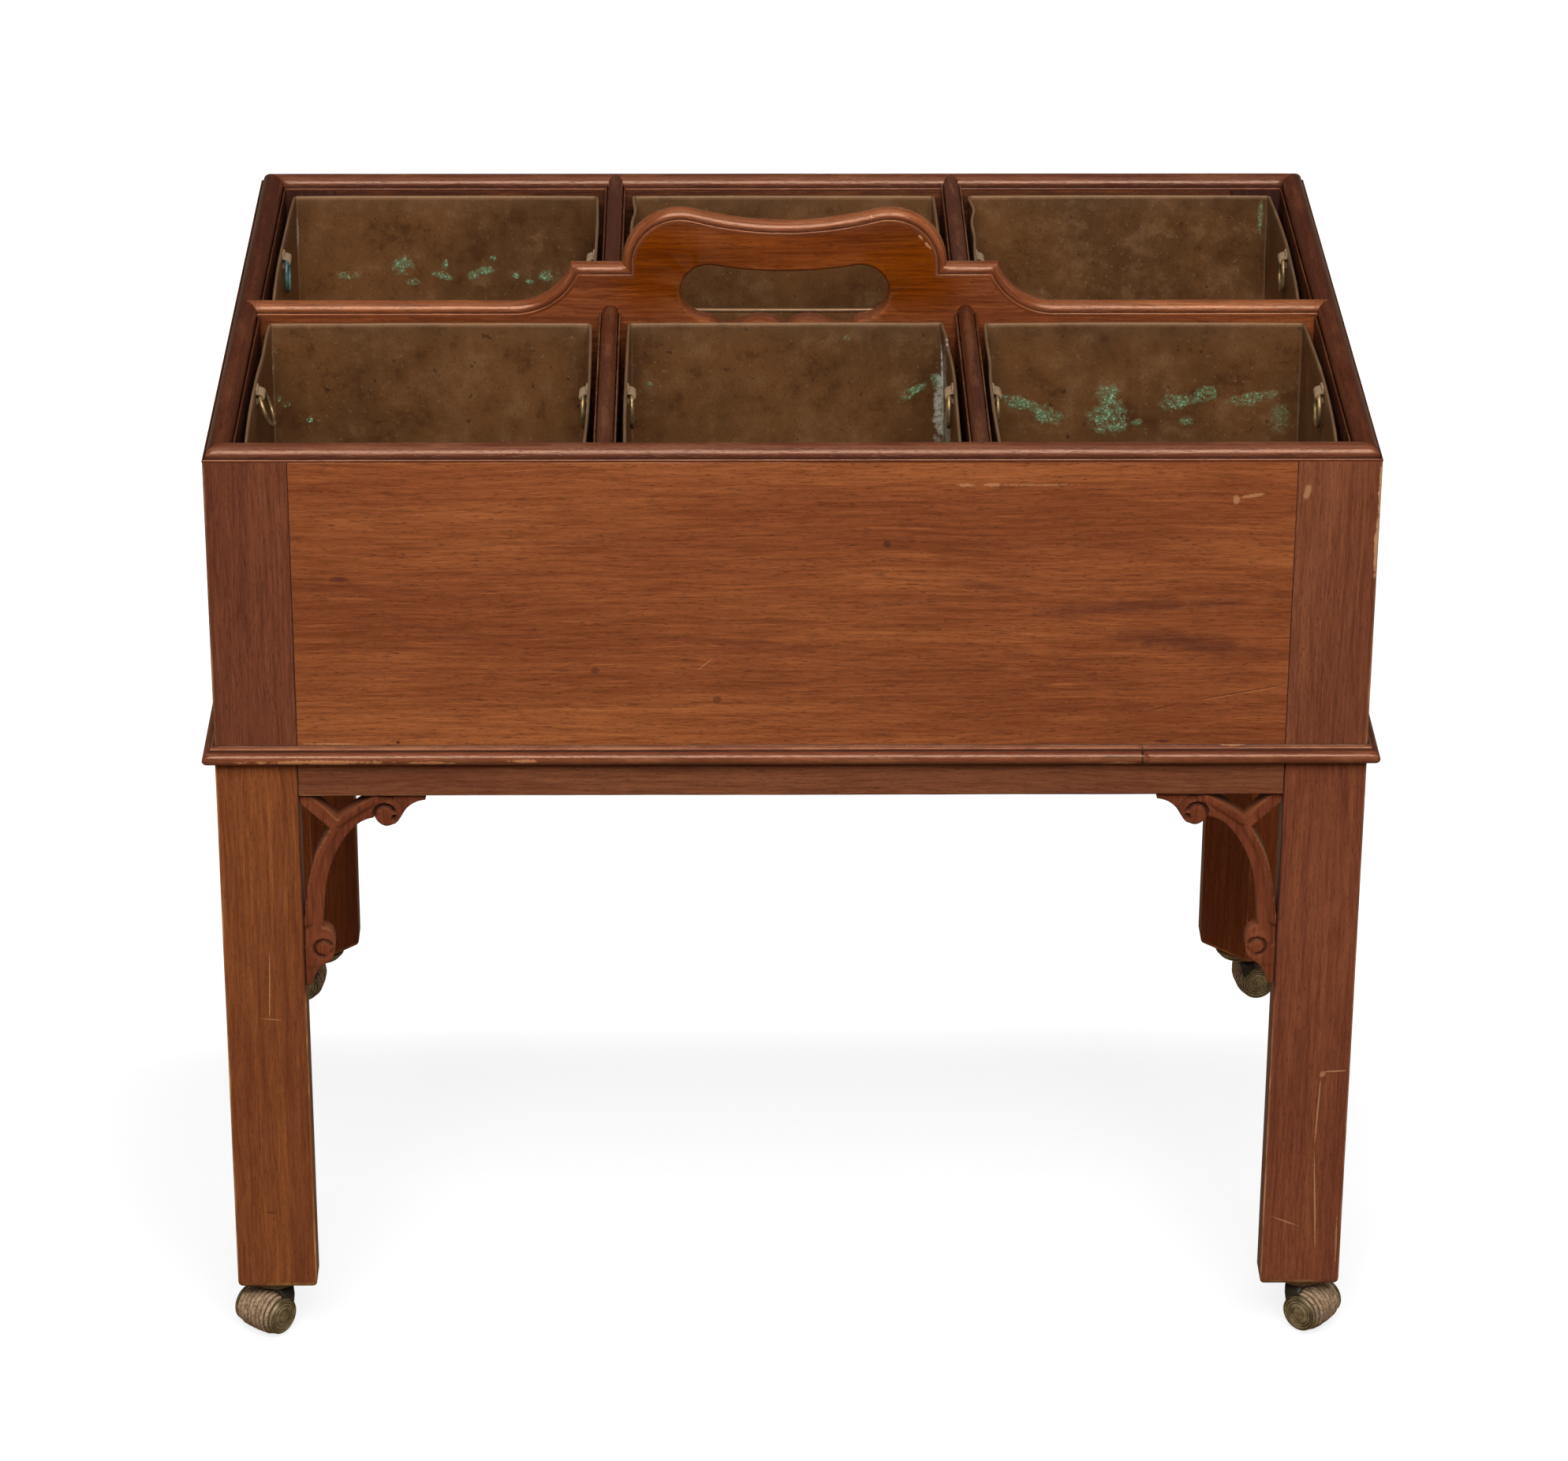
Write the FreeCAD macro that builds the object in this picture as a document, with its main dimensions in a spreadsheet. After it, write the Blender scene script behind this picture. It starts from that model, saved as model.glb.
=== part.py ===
"""Mahogany cellarette: a six-compartment bottle carrier with a pierced handle,
lifting off a low stand with fret brackets and leather-wheeled brass castors.

Millimetres, +Z up. Origin on the floor under the middle of the stand; the front faces -Y.
"""
import FreeCAD, Part
import math
import os
import re

Vector = FreeCAD.Vector
Placement = FreeCAD.Placement
Rotation = FreeCAD.Rotation

# Driving dimensions: alias, value, what it measures.
SIZES = (
    ("body_width", 640, "stand over its legs, side to side"),
    ("body_depth", 444, "stand over its legs, front to back"),
    ("castor_height", 34, "floor to the foot of a leg"),
    ("leg_length", 345, "foot of a leg to the top of the stand"),
    ("leg_size", 46, "side of a square leg"),
    ("leg_chamfer", 27, "flat taken off a leg's inside corner"),
    ("foot_round", 3, "softened bottom edges of a leg"),
    ("rail_height", 26, "depth of a frieze rail"),
    ("rail_thick", 18, "thickness of a frieze rail"),
    ("lip_drop", 5, "base moulding below the top of the stand"),
    ("lip_rise", 5.4, "base moulding above the top of the stand"),
    ("lip_reach", 6.5, "base moulding out from the legs"),
    ("lip_quirk", 0.55, "step between the moulding's nose and its bead"),
    ("nose_height", 7.5, "height of the moulding's half-round nose"),
    ("lip_play", 0.25, "clearance of the carrier inside the lip"),
    ("bracket_reach", 71, "bracket along the rail"),
    ("bracket_drop", 120.5, "bracket down the leg"),
    ("bracket_thick", 12, "thickness of a bracket"),
    ("bracket_setback", 2, "bracket behind the face of the leg"),
    ("wall_height", 175, "carrier wall below its rim moulding"),
    ("wall_thick", 16, "carrier walls and corner posts"),
    ("rim_shelf", 1.5, "flat beside the half-round of a rim moulding"),
    ("rim_bead", 0.5, "radius of the bead on that flat"),
    ("rim_foot", 1.4, "upright edge under the bead"),
    ("divider_thick", 14, "long divider"),
    ("partition_thick", 12.2, "cross partitions"),
    ("partition_spacing", 204.8, "cross partitions, centre to centre"),
    ("board_thick", 12, "bottom board"),
    ("handle_shift", -2, "middle of the handle from the middle of the box"),
    ("handle_rise", 57.2, "crest of the handle's humps above the rim"),
    ("handle_dip", 7.9, "middle of the bow below its humps"),
    ("hump_spacing", 120, "centres of the two humps"),
    ("hump_radius", 33.5, "radius of a hump"),
    ("shoulder_rise", 24, "shoulder above the rim"),
    ("shoulder_width", 29.5, "level part of a shoulder"),
    ("cove_run", 33, "cove from a shoulder down to the rim"),
    ("grip_depth", 29.5, "wood above the hand hole"),
    ("hole_end_radius", 16.5, "rounded end of the hand hole"),
    ("hole_width", 120, "hand hole, end to end"),
    ("hole_wave", 5.5, "rise of the waves along the hole's lower edge"),
    ("sheet_thick", 1, "metal of a liner"),
    ("rim_roll", 1.1, "rolled edge of a liner, out from its wall"),
    ("roll_height", 2.4, "height of the rolled edge"),
    ("liner_gap", 3, "rolled edge to the wood round it"),
    ("liner_below", 1.5, "top of a liner below the top of the wall"),
    ("lug_radius", 2.5, "outside of a ring lug"),
    ("lug_length", 10, "length of a ring lug"),
    ("lug_below", 5.5, "axis of a lug below the top of its liner"),
    ("wire_radius", 1.25, "wire of a ring"),
    ("ring_radius", 10.75, "ring, to the middle of its wire"),
    ("ring_play", 0.08, "ring wire in its lug"),
    ("ring_side_play", 0.6, "ring's shoulders to the ends of the lug"),
    ("ring_swing", 20, "swing of the one ring that is stored out from the wall, degrees"),
    ("castor_inset", 20.5, "castor pivot from the leg's outer faces"),
    ("plate_radius", 15.5, "castor top plate"),
    ("plate_thick", 3, "castor top plate"),
    ("screw_head_radius", 2.3, "head of a castor screw"),
    ("screw_head_height", 0.9, "castor screw head below its plate"),
    ("screw_shank_radius", 1.3, "castor screw shank"),
    ("screw_length", 14, "castor screw in the leg"),
    ("screw_circle", 11.8, "castor screws from the pivot"),
    ("pintle_radius", 4, "castor pintle"),
    ("pintle_length", 24, "castor pintle above its crown"),
    ("socket_play", 0.35, "castor pintle in its socket in the leg"),
    ("turn_play", 0.06, "pins in their bores"),
    ("crown_radius", 13, "round crown of a castor horn"),
    ("crown_gap", 0.35, "crown below the top plate"),
    ("crown_thick", 3.4, "thickness of the crown and yoke"),
    ("castor_trail", 10, "axle behind the pivot"),
    ("wheel_radius", 13, "leather wheel"),
    ("wheel_width", 24, "leather wheel along its axle"),
    ("wheel_round", 3.5, "rounded shoulder of the wheel"),
    ("cheek_gap", 0.4, "wheel to a cheek"),
    ("cheek_thick", 2.6, "cheek of a horn"),
    ("cheek_radius", 11.4, "round end of a cheek"),
    ("arm_width", 9, "arm between a cheek and the crown"),
    ("arm_lead", 10, "arm from the axle towards the pivot"),
    ("axle_radius", 2.2, "riveted axle"),
    ("rivet_radius", 3.6, "rivet head"),
    ("rivet_height", 0.8, "rivet head"),
)

# Levels and places worked out from the sizes.
PLACES = (
    ("stand_top", "castor_height + leg_length"),
    ("rail_foot", "stand_top - rail_height"),
    ("box_width", "body_width - 2 * lip_play"),
    ("box_depth", "body_depth - 2 * lip_play"),
    ("inner_width", "box_width - 2 * wall_thick"),
    ("inner_depth", "box_depth - 2 * wall_thick"),
    ("wall_top", "stand_top + wall_height"),
    ("rim_crest", "wall_top + rim_foot + wall_thick / 2 - rim_shelf"),
    ("post_width", "leg_size"),
    ("cap_depth", "divider_thick / 2 - rim_shelf + rim_bead + rim_foot"),
    ("board_top", "stand_top + board_thick"),
    ("side_cell_width", "(inner_width - partition_spacing - partition_thick) / 2"),
    ("middle_cell_width", "partition_spacing - partition_thick"),
    ("cell_depth", "(inner_depth - divider_thick) / 2"),
    ("liner_play", "liner_gap + rim_roll"),
    ("liner_depth", "cell_depth - 2 * liner_play"),
    ("liner_top", "wall_top - liner_below"),
    ("liner_height", "liner_top - board_top"),
    ("halving_level", "(board_top + wall_top) / 2"),
    ("plate_foot", "castor_height - plate_thick"),
    ("crown_top", "plate_foot - crown_gap"),
    ("horn_width", "wheel_width + 2 * cheek_gap + 2 * cheek_thick"),
)

# Points closer than this are taken as one.
NEAR = 0.01

doc = FreeCAD.newDocument("Cellarette")
nodes = {}


def fill_sheet(name, rows):
    """Write one spreadsheet: the alias in column A, its value or formula in column B."""
    sheet = doc.addObject("Spreadsheet::Sheet", name)
    for row, (alias, content, *note) in enumerate(rows, start=1):
        sheet.set(f"A{row}", alias)
        sheet.set(f"B{row}", content if isinstance(content, str) else str(content))
        sheet.setAlias(f"B{row}", alias)
        sheet.set(f"C{row}", note[0] if note else "worked out")
    return sheet


size_names = {row[0] for row in SIZES}
place_names = {row[0] for row in PLACES}


def bound(text, own_sheet=False):
    """Turn plain words into references to the cells that they name."""
    def reference(match):
        word = match.group(0)
        if word in size_names:
            return f"Sizes.{word}"
        if word in place_names and not own_sheet:
            return f"Places.{word}"
        return word
    return re.sub(r"[a-z_]+", reference, text)


sizes = fill_sheet("Sizes", SIZES)
places = fill_sheet("Places", [(alias, "=" + bound(text, True)) for alias, text in PLACES])
doc.recompute()
val = {alias: float(sizes.get(alias)) for alias in size_names}
val.update({alias: float(places.get(alias)) for alias in place_names})


# --- bound primitives and booleans ---

def seat(obj, x, y, z):
    """Bind an object's place to the cells."""
    for axis, text in zip("xyz", (x, y, z)):
        obj.setExpression(f"Placement.Base.{axis}", bound(text))
    return obj


def box(name, length, width, height, x, y, z):
    """A block with its low corner at x, y, z."""
    obj = doc.addObject("Part::Box", name)
    obj.setExpression("Length", bound(length))
    obj.setExpression("Width", bound(width))
    obj.setExpression("Height", bound(height))
    return seat(obj, x, y, z)


def centred_box(name, length, width, height, x, y, z):
    """A block with the middle of its foot at x, y, z."""
    return box(name, length, width, height, f"{x} - ({length}) / 2", f"{y} - ({width}) / 2", z)


def cylinder(name, radius, height, x, y, z, axis=Vector(0, 0, 1)):
    """A round bar that starts at x, y, z and runs along axis."""
    obj = doc.addObject("Part::Cylinder", name)
    obj.Placement = Placement(Vector(), Rotation(Vector(0, 0, 1), axis))
    obj.setExpression("Radius", bound(radius))
    obj.setExpression("Height", bound(height))
    return seat(obj, x, y, z)


def fuse(name, *parts):
    obj = doc.addObject("Part::MultiFuse", name)
    obj.Shapes = list(parts)
    return obj


def cut(name, base, *tools):
    obj = doc.addObject("Part::Cut", name)
    obj.Base = base
    obj.Tool = tools[0] if len(tools) == 1 else fuse(f"{name}_tools", *tools)
    return obj


def group(name, *parts):
    """Separate solids that share one node."""
    obj = doc.addObject("Part::Compound", name)
    obj.Links = list(parts)
    return obj


def feature(name, shape):
    """A form that no primitive makes, with its shape worked out from the sheets."""
    obj = doc.addObject("Part::Feature", name)
    obj.Shape = shape
    return obj


def softened(kind, name, base, size, chosen):
    """Fillet or chamfer the edges of base that the test picks."""
    doc.recompute()
    edges = [(i, val[size], val[size]) for i, edge in enumerate(base.Shape.Edges, start=1) if chosen(edge)]
    obj = doc.addObject(kind, name)
    obj.Base = base
    obj.Edges = edges
    return obj


def node(label, obj):
    """Name a finished sub-part."""
    obj.Label = label
    nodes[label] = obj
    return obj


# --- outlines ---

def line(a, b):
    return Part.LineSegment(a, b).toShape()


def arc(a, b, c):
    return Part.Arc(a, b, c).toShape()


def curve(points):
    """A smooth curve through a few points."""
    spline = Part.BSplineCurve()
    spline.interpolate(points)
    return spline.toShape()


def prism(edges, way):
    """Extrude the face inside a closed run of edges."""
    return Part.Face(Part.Wire(edges)).extrude(way)


def polygon_prism(points, way):
    return prism([line(a, b) for a, b in zip(points, points[1:] + points[:1])], way)


# --- rim mouldings ---

def rim_section(thick, foot):
    """Upright section across a rim, in v (across) and z: a half-round between two beads."""
    half = thick / 2
    radius = half - val["rim_shelf"]
    spring = val["rim_crest"] - radius
    bead = val["rim_bead"]
    slope = bead / 2

    def at(v, z):
        return Vector(0, v, z)

    edges = [line(at(-half, foot), at(half, foot))]
    for side in (-1, 1):
        edges += [
            line(at(side * half, foot), at(side * half, spring - bead)),
            arc(at(side * half, spring - bead), at(side * (half - bead), spring),
                at(side * (half - 2 * bead), spring - bead)),
            line(at(side * (half - 2 * bead), spring - bead), at(side * radius, spring - bead - slope)),
            line(at(side * radius, spring - bead - slope), at(side * radius, spring)),
        ]
    edges.append(arc(at(-radius, spring), at(0, val["rim_crest"]), at(radius, spring)))
    return Part.Face(Part.Wire(Part.__sortEdges__(edges)))


def rim_bar(thick, foot, start, end):
    """A rim moulding along X."""
    section = rim_section(thick, foot)
    section.translate(Vector(start, 0, 0))
    return section.extrude(Vector(end - start, 0, 0))


def turned(shape, degrees):
    """A copy turned about the upright axis through the origin."""
    copy = shape.copy()
    copy.rotate(Vector(), Vector(0, 0, 1), degrees)
    return copy


def scribe_wedge(thick, face, foot):
    """The pointed end of a member that is mitred into the rim beyond an inner face, along +X."""
    half = thick / 2
    corners = [Vector(face, -half, foot), Vector(face + half, 0, foot), Vector(face, half, foot)]
    return polygon_prism(corners, Vector(0, 0, val["rim_crest"]))


def mitred_side(section_at, length, offset):
    """A straight moulding at Y = -offset, cut at both ends on the lines to the box's middle."""
    half = length / 2
    depth = val["wall_thick"] + val["lip_reach"]
    corners = [Vector(-half - depth, -offset - depth, 0), Vector(half + depth, -offset - depth, 0),
               Vector(half - depth, -offset + depth, 0), Vector(-half + depth, -offset + depth, 0)]
    wedge = polygon_prism(corners, Vector(0, 0, val["rim_crest"] + val["wall_thick"]))
    return section_at(half + depth).common(wedge)


def make_rims():
    """Four mitred caps, notched where the divider and the partitions are scribed in."""
    half_width = val["box_width"] / 2
    half_depth = val["box_depth"] / 2
    reach = val["wall_thick"] / 2
    foot = val["wall_top"]

    def bar(offset):
        def section_at(half):
            rail = rim_bar(val["wall_thick"], foot, -half, half)
            rail.translate(Vector(0, -offset + reach, 0))
            return rail
        return section_at

    long_rim = mitred_side(bar(half_depth), val["box_width"], half_depth)
    short_rim = mitred_side(bar(half_width), val["box_depth"], half_width)
    partition_wedge = turned(scribe_wedge(val["partition_thick"], val["inner_depth"] / 2, foot), -90)
    for side in (-1, 1):
        notch = partition_wedge.copy()
        notch.translate(Vector(side * val["partition_spacing"] / 2, 0, 0))
        long_rim = long_rim.cut(notch)
    short_rim = short_rim.cut(turned(scribe_wedge(val["divider_thick"], val["inner_width"] / 2, foot), -90))
    for label, rim, degrees in (("front_rim", long_rim, 0), ("back_rim", long_rim, 180),
                                ("left_rim", short_rim, -90), ("right_rim", short_rim, 90)):
        node(label, feature(label + "_form", turned(rim, degrees)))


# --- carrier walls ---

def make_walls():
    """Corner posts with upright grain and panels with level grain, butted flush."""
    for y_name, y_side in (("front", -1), ("back", 1)):
        for x_name, x_side in (("left", -1), ("right", 1)):
            label = f"{y_name}_{x_name}_post"
            x_long = "-box_width / 2" if x_side < 0 else "box_width / 2 - post_width"
            x_thin = "-box_width / 2" if x_side < 0 else "box_width / 2 - wall_thick"
            y_long = "-box_depth / 2" if y_side < 0 else "box_depth / 2 - post_width"
            y_thin = "-box_depth / 2" if y_side < 0 else "box_depth / 2 - wall_thick"
            face = box(label + "_face", "post_width", "wall_thick", "wall_height",
                       x_long, y_thin, "stand_top")
            flank = box(label + "_flank", "wall_thick", "post_width", "wall_height",
                        x_thin, y_long, "stand_top")
            node(label, fuse(label + "_form", face, flank))
    long_panel = ("box_width - 2 * post_width", "wall_thick", "wall_height", "-box_width / 2 + post_width")
    side_panel = ("wall_thick", "box_depth - 2 * post_width", "wall_height")
    node("front_panel", box("front_panel_form", *long_panel, "-box_depth / 2", "stand_top"))
    node("back_panel", box("back_panel_form", *long_panel, "box_depth / 2 - wall_thick", "stand_top"))
    node("left_panel", box("left_panel_form", *side_panel, "-box_width / 2",
                           "-box_depth / 2 + post_width", "stand_top"))
    node("right_panel", box("right_panel_form", *side_panel, "box_width / 2 - wall_thick",
                            "-box_depth / 2 + post_width", "stand_top"))
    node("bottom_board", centred_box("bottom_board_form", "inner_width", "inner_depth", "board_thick",
                                     "0", "0", "stand_top"))


# --- partitions and the divider with its handle ---

def make_partitions():
    """Two cross partitions, slotted from above over the divider."""
    thick = val["partition_thick"]
    half_run = val["inner_depth"] / 2
    wall = rim_bar(thick, val["board_top"], -half_run, half_run)
    tip = rim_bar(thick, val["wall_top"], half_run, half_run + thick)
    tip = tip.common(scribe_wedge(thick, half_run, val["wall_top"]))
    far_tip = turned(tip, 180)
    slot_half = val["divider_thick"] / 2
    slot = polygon_prism([Vector(-slot_half, -thick, val["halving_level"]),
                          Vector(slot_half, -thick, val["halving_level"]),
                          Vector(slot_half, thick, val["halving_level"]),
                          Vector(-slot_half, thick, val["halving_level"])],
                         Vector(0, 0, val["rim_crest"]))
    bar = turned(wall.fuse([tip, far_tip]).removeSplitter().cut(slot), 90)
    for label, side in (("left_partition", -1), ("right_partition", 1)):
        piece = bar.copy()
        piece.translate(Vector(side * val["partition_spacing"] / 2, 0, 0))
        node(label, feature(label + "_form", piece))


class HandleOutline:
    """The top line of the divider, from one side wall to the other, in X and Z."""

    def __init__(self):
        self.rim = val["rim_crest"]
        self.crest = self.rim + val["handle_rise"]
        self.dip = self.crest - val["handle_dip"]
        self.shoulder = self.rim + val["shoulder_rise"]
        self.hump_x = val["hump_spacing"] / 2
        self.hump_z = self.crest - val["hump_radius"]
        self.hump_r = val["hump_radius"]
        self.neck_x = self.hump_x + self.hump_r
        self.ear_x = self.neck_x + val["shoulder_width"]
        self.cove_x = self.ear_x + val["cove_run"]
        rise = val["shoulder_rise"]
        self.cove_r = (val["cove_run"] ** 2 + rise ** 2) / (2 * rise)
        self.cove_z = self.rim + self.cove_r
        gap = self.hump_z - self.dip
        self.bow_r = (self.hump_x ** 2 + gap ** 2 - self.hump_r ** 2) / (2 * (self.hump_r + gap))
        self.bow_z = self.dip + self.bow_r

    def half(self, drop, reach):
        """Edges of the right half, from the middle out, lowered squarely by drop."""
        hump_r = self.hump_r - drop
        cove_r = self.cove_r + drop
        bow_r = self.bow_r + drop
        share = bow_r / (bow_r + hump_r)
        meet = Vector(self.hump_x * share, 0, self.bow_z + (self.hump_z - self.bow_z) * share)
        half_way = meet.x / 2
        bow_mid = Vector(half_way, 0, self.bow_z - math.sqrt(bow_r ** 2 - half_way ** 2))
        level = self.shoulder - drop
        above = max(level - self.hump_z, 0)
        side = Vector(self.hump_x + math.sqrt(hump_r ** 2 - above ** 2), 0, self.hump_z + above)
        lean = math.pi / 4
        hump_mid = Vector(self.hump_x + hump_r * math.sin(lean), 0, self.hump_z + hump_r * math.cos(lean))
        neck = Vector(side.x, 0, level)
        ear = Vector(self.cove_x - math.sqrt(cove_r ** 2 - (self.cove_z - neck.z) ** 2), 0, neck.z)
        foot = Vector(self.cove_x, 0, self.cove_z - cove_r)
        turn = (math.asin((self.cove_x - ear.x) / cove_r)) / 2
        cove_mid = Vector(self.cove_x - cove_r * math.sin(turn), 0, self.cove_z - cove_r * math.cos(turn))
        end = Vector(reach, 0, foot.z)
        edges = [arc(Vector(0, 0, self.bow_z - bow_r), bow_mid, meet), arc(meet, hump_mid, side)]
        if side.z - neck.z > NEAR:
            edges.append(line(side, neck))
        return edges + [line(neck, ear), arc(ear, cove_mid, foot), line(foot, end)]


def mirrored(edges):
    """The same edges reflected about the middle plane, X = 0."""
    return [edge.mirror(Vector(), Vector(1, 0, 0)) for edge in edges]


# Lower edge of the hand hole, from its round end to the middle: shares of the half width and of
# the wave's rise.
HOLE_WAVES = ((0.8, 0), (0.58, 0.45), (0.36, 1), (0.15, 0.75), (0, 0))


def hand_hole(outline):
    """The pierced grip: its top follows the bow, its ends are round and its lower edge waves."""
    end_r = val["hole_end_radius"]
    bow_r = outline.bow_r + val["grip_depth"]
    top = outline.bow_z - bow_r
    end_x = val["hole_width"] / 2 - end_r
    end_z = outline.bow_z - math.sqrt((bow_r + end_r) ** 2 - end_x ** 2)
    share = bow_r / (bow_r + end_r)
    meet = Vector(end_x * share, 0, outline.bow_z + (end_z - outline.bow_z) * share)
    top_mid = Vector(meet.x / 2, 0, outline.bow_z - math.sqrt(bow_r ** 2 - (meet.x / 2) ** 2))
    wave = val["hole_wave"]
    floor = end_z - end_r - wave
    slant = end_r * math.sin(math.pi / 4)
    side = Vector(end_x + end_r, 0, end_z)
    heel = Vector(end_x, 0, end_z - end_r)
    waves = [heel] + [Vector(end_x * along, 0, floor + wave * up) for along, up in HOLE_WAVES]
    half = [arc(Vector(0, 0, top), top_mid, meet),
            arc(meet, Vector(end_x + slant, 0, end_z + slant), side),
            arc(side, Vector(end_x + slant, 0, end_z - slant), heel),
            curve(waves)]
    thick = 2 * val["divider_thick"]
    hole = prism(Part.__sortEdges__(half + mirrored(half)), Vector(0, thick, 0))
    hole.translate(Vector(0, -thick / 2, 0))
    return hole


def handle_cap(outline, half_run):
    """The rim moulding carried along the whole top line, mitred at the shoulders."""
    edges = outline.half(0, half_run)
    path = Part.Wire(Part.__sortEdges__(edges + mirrored(edges)))
    section = rim_section(val["divider_thick"], val["rim_crest"] - val["cap_depth"])
    start = path.OrderedVertexes[0].Point
    section.translate(Vector(start.x, 0, 0))
    pipe = Part.BRepOffsetAPI.MakePipeShell(path)
    pipe.setTransitionMode(1)
    pipe.setBiNormalMode(Vector(0, 1, 0))
    pipe.add(section.OuterWire)
    pipe.build()
    pipe.makeSolid()
    return pipe.shape()


def make_divider():
    """The long divider: a board, its moulded top line, the hand hole and two halving slots."""
    outline = HandleOutline()
    thick = val["divider_thick"]
    half_run = val["inner_width"] / 2
    shift = Vector(val["handle_shift"], 0, 0)
    run = half_run + thick
    lowered = outline.half(val["cap_depth"], run)
    foot = [Vector(-run, 0, val["board_top"]), Vector(run, 0, val["board_top"])]
    rim_level = val["rim_crest"] - val["cap_depth"]
    sides = [line(foot[0], foot[1]), line(foot[1], Vector(run, 0, rim_level)),
             line(foot[0], Vector(-run, 0, rim_level))]
    board = prism(Part.__sortEdges__(lowered + mirrored(lowered) + sides), Vector(0, thick, 0))
    board.translate(Vector(0, -thick / 2, 0))
    whole = board.fuse(handle_cap(outline, run)).removeSplitter().cut(hand_hole(outline))
    whole.translate(shift)
    between = Part.makeBox(2 * half_run, 2 * thick, val["rim_crest"] + val["handle_rise"],
                           Vector(-half_run, -thick, 0))
    right_tip = scribe_wedge(thick, half_run, val["wall_top"])
    divider = whole.common(between.fuse([right_tip, turned(right_tip, 180)]))
    slot_width = val["partition_thick"]
    for side in (-1, 1):
        divider = divider.cut(Part.makeBox(slot_width, 2 * thick, val["halving_level"],
                                           Vector(side * val["partition_spacing"] / 2 - slot_width / 2,
                                                  -thick, 0)))
    node("handle_divider", feature("handle_divider_form", divider))


# --- stand ---

CORNERS = (("front_left", -1, -1), ("front_right", 1, -1), ("back_left", -1, 1), ("back_right", 1, 1))

# Castor screws round the pivot, in degrees from the way into the stand along X.
SCREW_TURNS = (90, 225, 0)


def pivot_place(x_side, y_side):
    """Expressions for a castor pivot's X and Y."""
    x = f"{x_side} * (body_width / 2 - castor_inset)"
    y = f"{y_side} * (body_depth / 2 - castor_inset)"
    return x, y


def screw_places(x_side, y_side):
    """Three screws round a pivot, clear of the leg's chamfer."""
    pivot_x, pivot_y = pivot_place(x_side, y_side)
    for turn in SCREW_TURNS:
        angle = math.radians(turn)
        yield (f"{pivot_x} + {-x_side * round(math.cos(angle), 4)} * screw_circle",
               f"{pivot_y} + {-y_side * round(math.sin(angle), 4)} * screw_circle")


def make_legs():
    for corner, x_side, y_side in CORNERS:
        label = f"{corner}_leg"
        x_low = "-body_width / 2" if x_side < 0 else "body_width / 2 - leg_size"
        y_low = "-body_depth / 2" if y_side < 0 else "body_depth / 2 - leg_size"
        block = box(label + "_block", "leg_size", "leg_size", "leg_length", x_low, y_low, "castor_height")
        inner_x = x_side * (val["body_width"] / 2 - val["leg_size"])
        inner_y = y_side * (val["body_depth"] / 2 - val["leg_size"])

        def inside_corner(edge):
            return all(math.hypot(v.X - inner_x, v.Y - inner_y) < NEAR for v in edge.Vertexes)

        def foot_edge(edge):
            return all(abs(v.Z - val["castor_height"]) < NEAR for v in edge.Vertexes)

        chamfered = softened("Part::Chamfer", label + "_chamfered", block, "leg_chamfer", inside_corner)
        footed = softened("Part::Fillet", label + "_footed", chamfered, "foot_round", foot_edge)
        pivot = pivot_place(x_side, y_side)
        holes = [cylinder(label + "_socket", "pintle_radius + socket_play", "pintle_length + socket_play",
                          *pivot, "castor_height")]
        for number, place in enumerate(screw_places(x_side, y_side)):
            holes.append(cylinder(f"{label}_screw_hole_{number}", "screw_shank_radius",
                                  "screw_length", *place, "castor_height"))
        node(label, cut(label + "_form", footed, *holes))


def make_rails():
    long_rail = ("body_width - 2 * leg_size", "rail_thick", "rail_height", "-body_width / 2 + leg_size")
    side_rail = ("rail_thick", "body_depth - 2 * leg_size", "rail_height")
    side_start = "-body_depth / 2 + leg_size"
    node("front_rail", box("front_rail_form", *long_rail, "-body_depth / 2", "rail_foot"))
    node("back_rail", box("back_rail_form", *long_rail, "body_depth / 2 - rail_thick", "rail_foot"))
    node("left_rail", box("left_rail_form", *side_rail, "-body_width / 2", side_start, "rail_foot"))
    node("right_rail", box("right_rail_form", *side_rail, "body_width / 2 - rail_thick", side_start,
                           "rail_foot"))


def lip_section(face):
    """Base moulding: a half-round nose with a quirk, a bead and a small cove above it."""
    foot = val["stand_top"] - val["lip_drop"]
    top = val["stand_top"] + val["lip_rise"]
    nose = val["nose_height"]
    reach = val["lip_reach"]
    shelf = foot + nose
    bead = (top - shelf) / 3
    flat = reach - nose / 2
    quirk = val["lip_quirk"]
    slant = bead * math.sin(math.pi / 4)

    def at(out, z):
        return Vector(0, -face - out, z)

    bead_foot = at(flat - quirk, shelf + bead)
    bead_mid = at(flat - quirk - bead + slant, shelf + bead + slant)
    bead_top = at(flat - quirk - bead, shelf + 2 * bead)
    edges = [line(at(0, foot), at(flat, foot)),
             arc(at(flat, foot), at(reach, foot + nose / 2), at(flat, shelf)),
             line(at(flat, shelf), at(flat - quirk, shelf)),
             line(at(flat - quirk, shelf), bead_foot),
             arc(bead_foot, bead_mid, bead_top),
             line(bead_top, at(quirk, top)),
             line(at(quirk, top), at(0, top)),
             line(at(0, top), at(0, foot))]
    return Part.Face(Part.Wire(edges))


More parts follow.
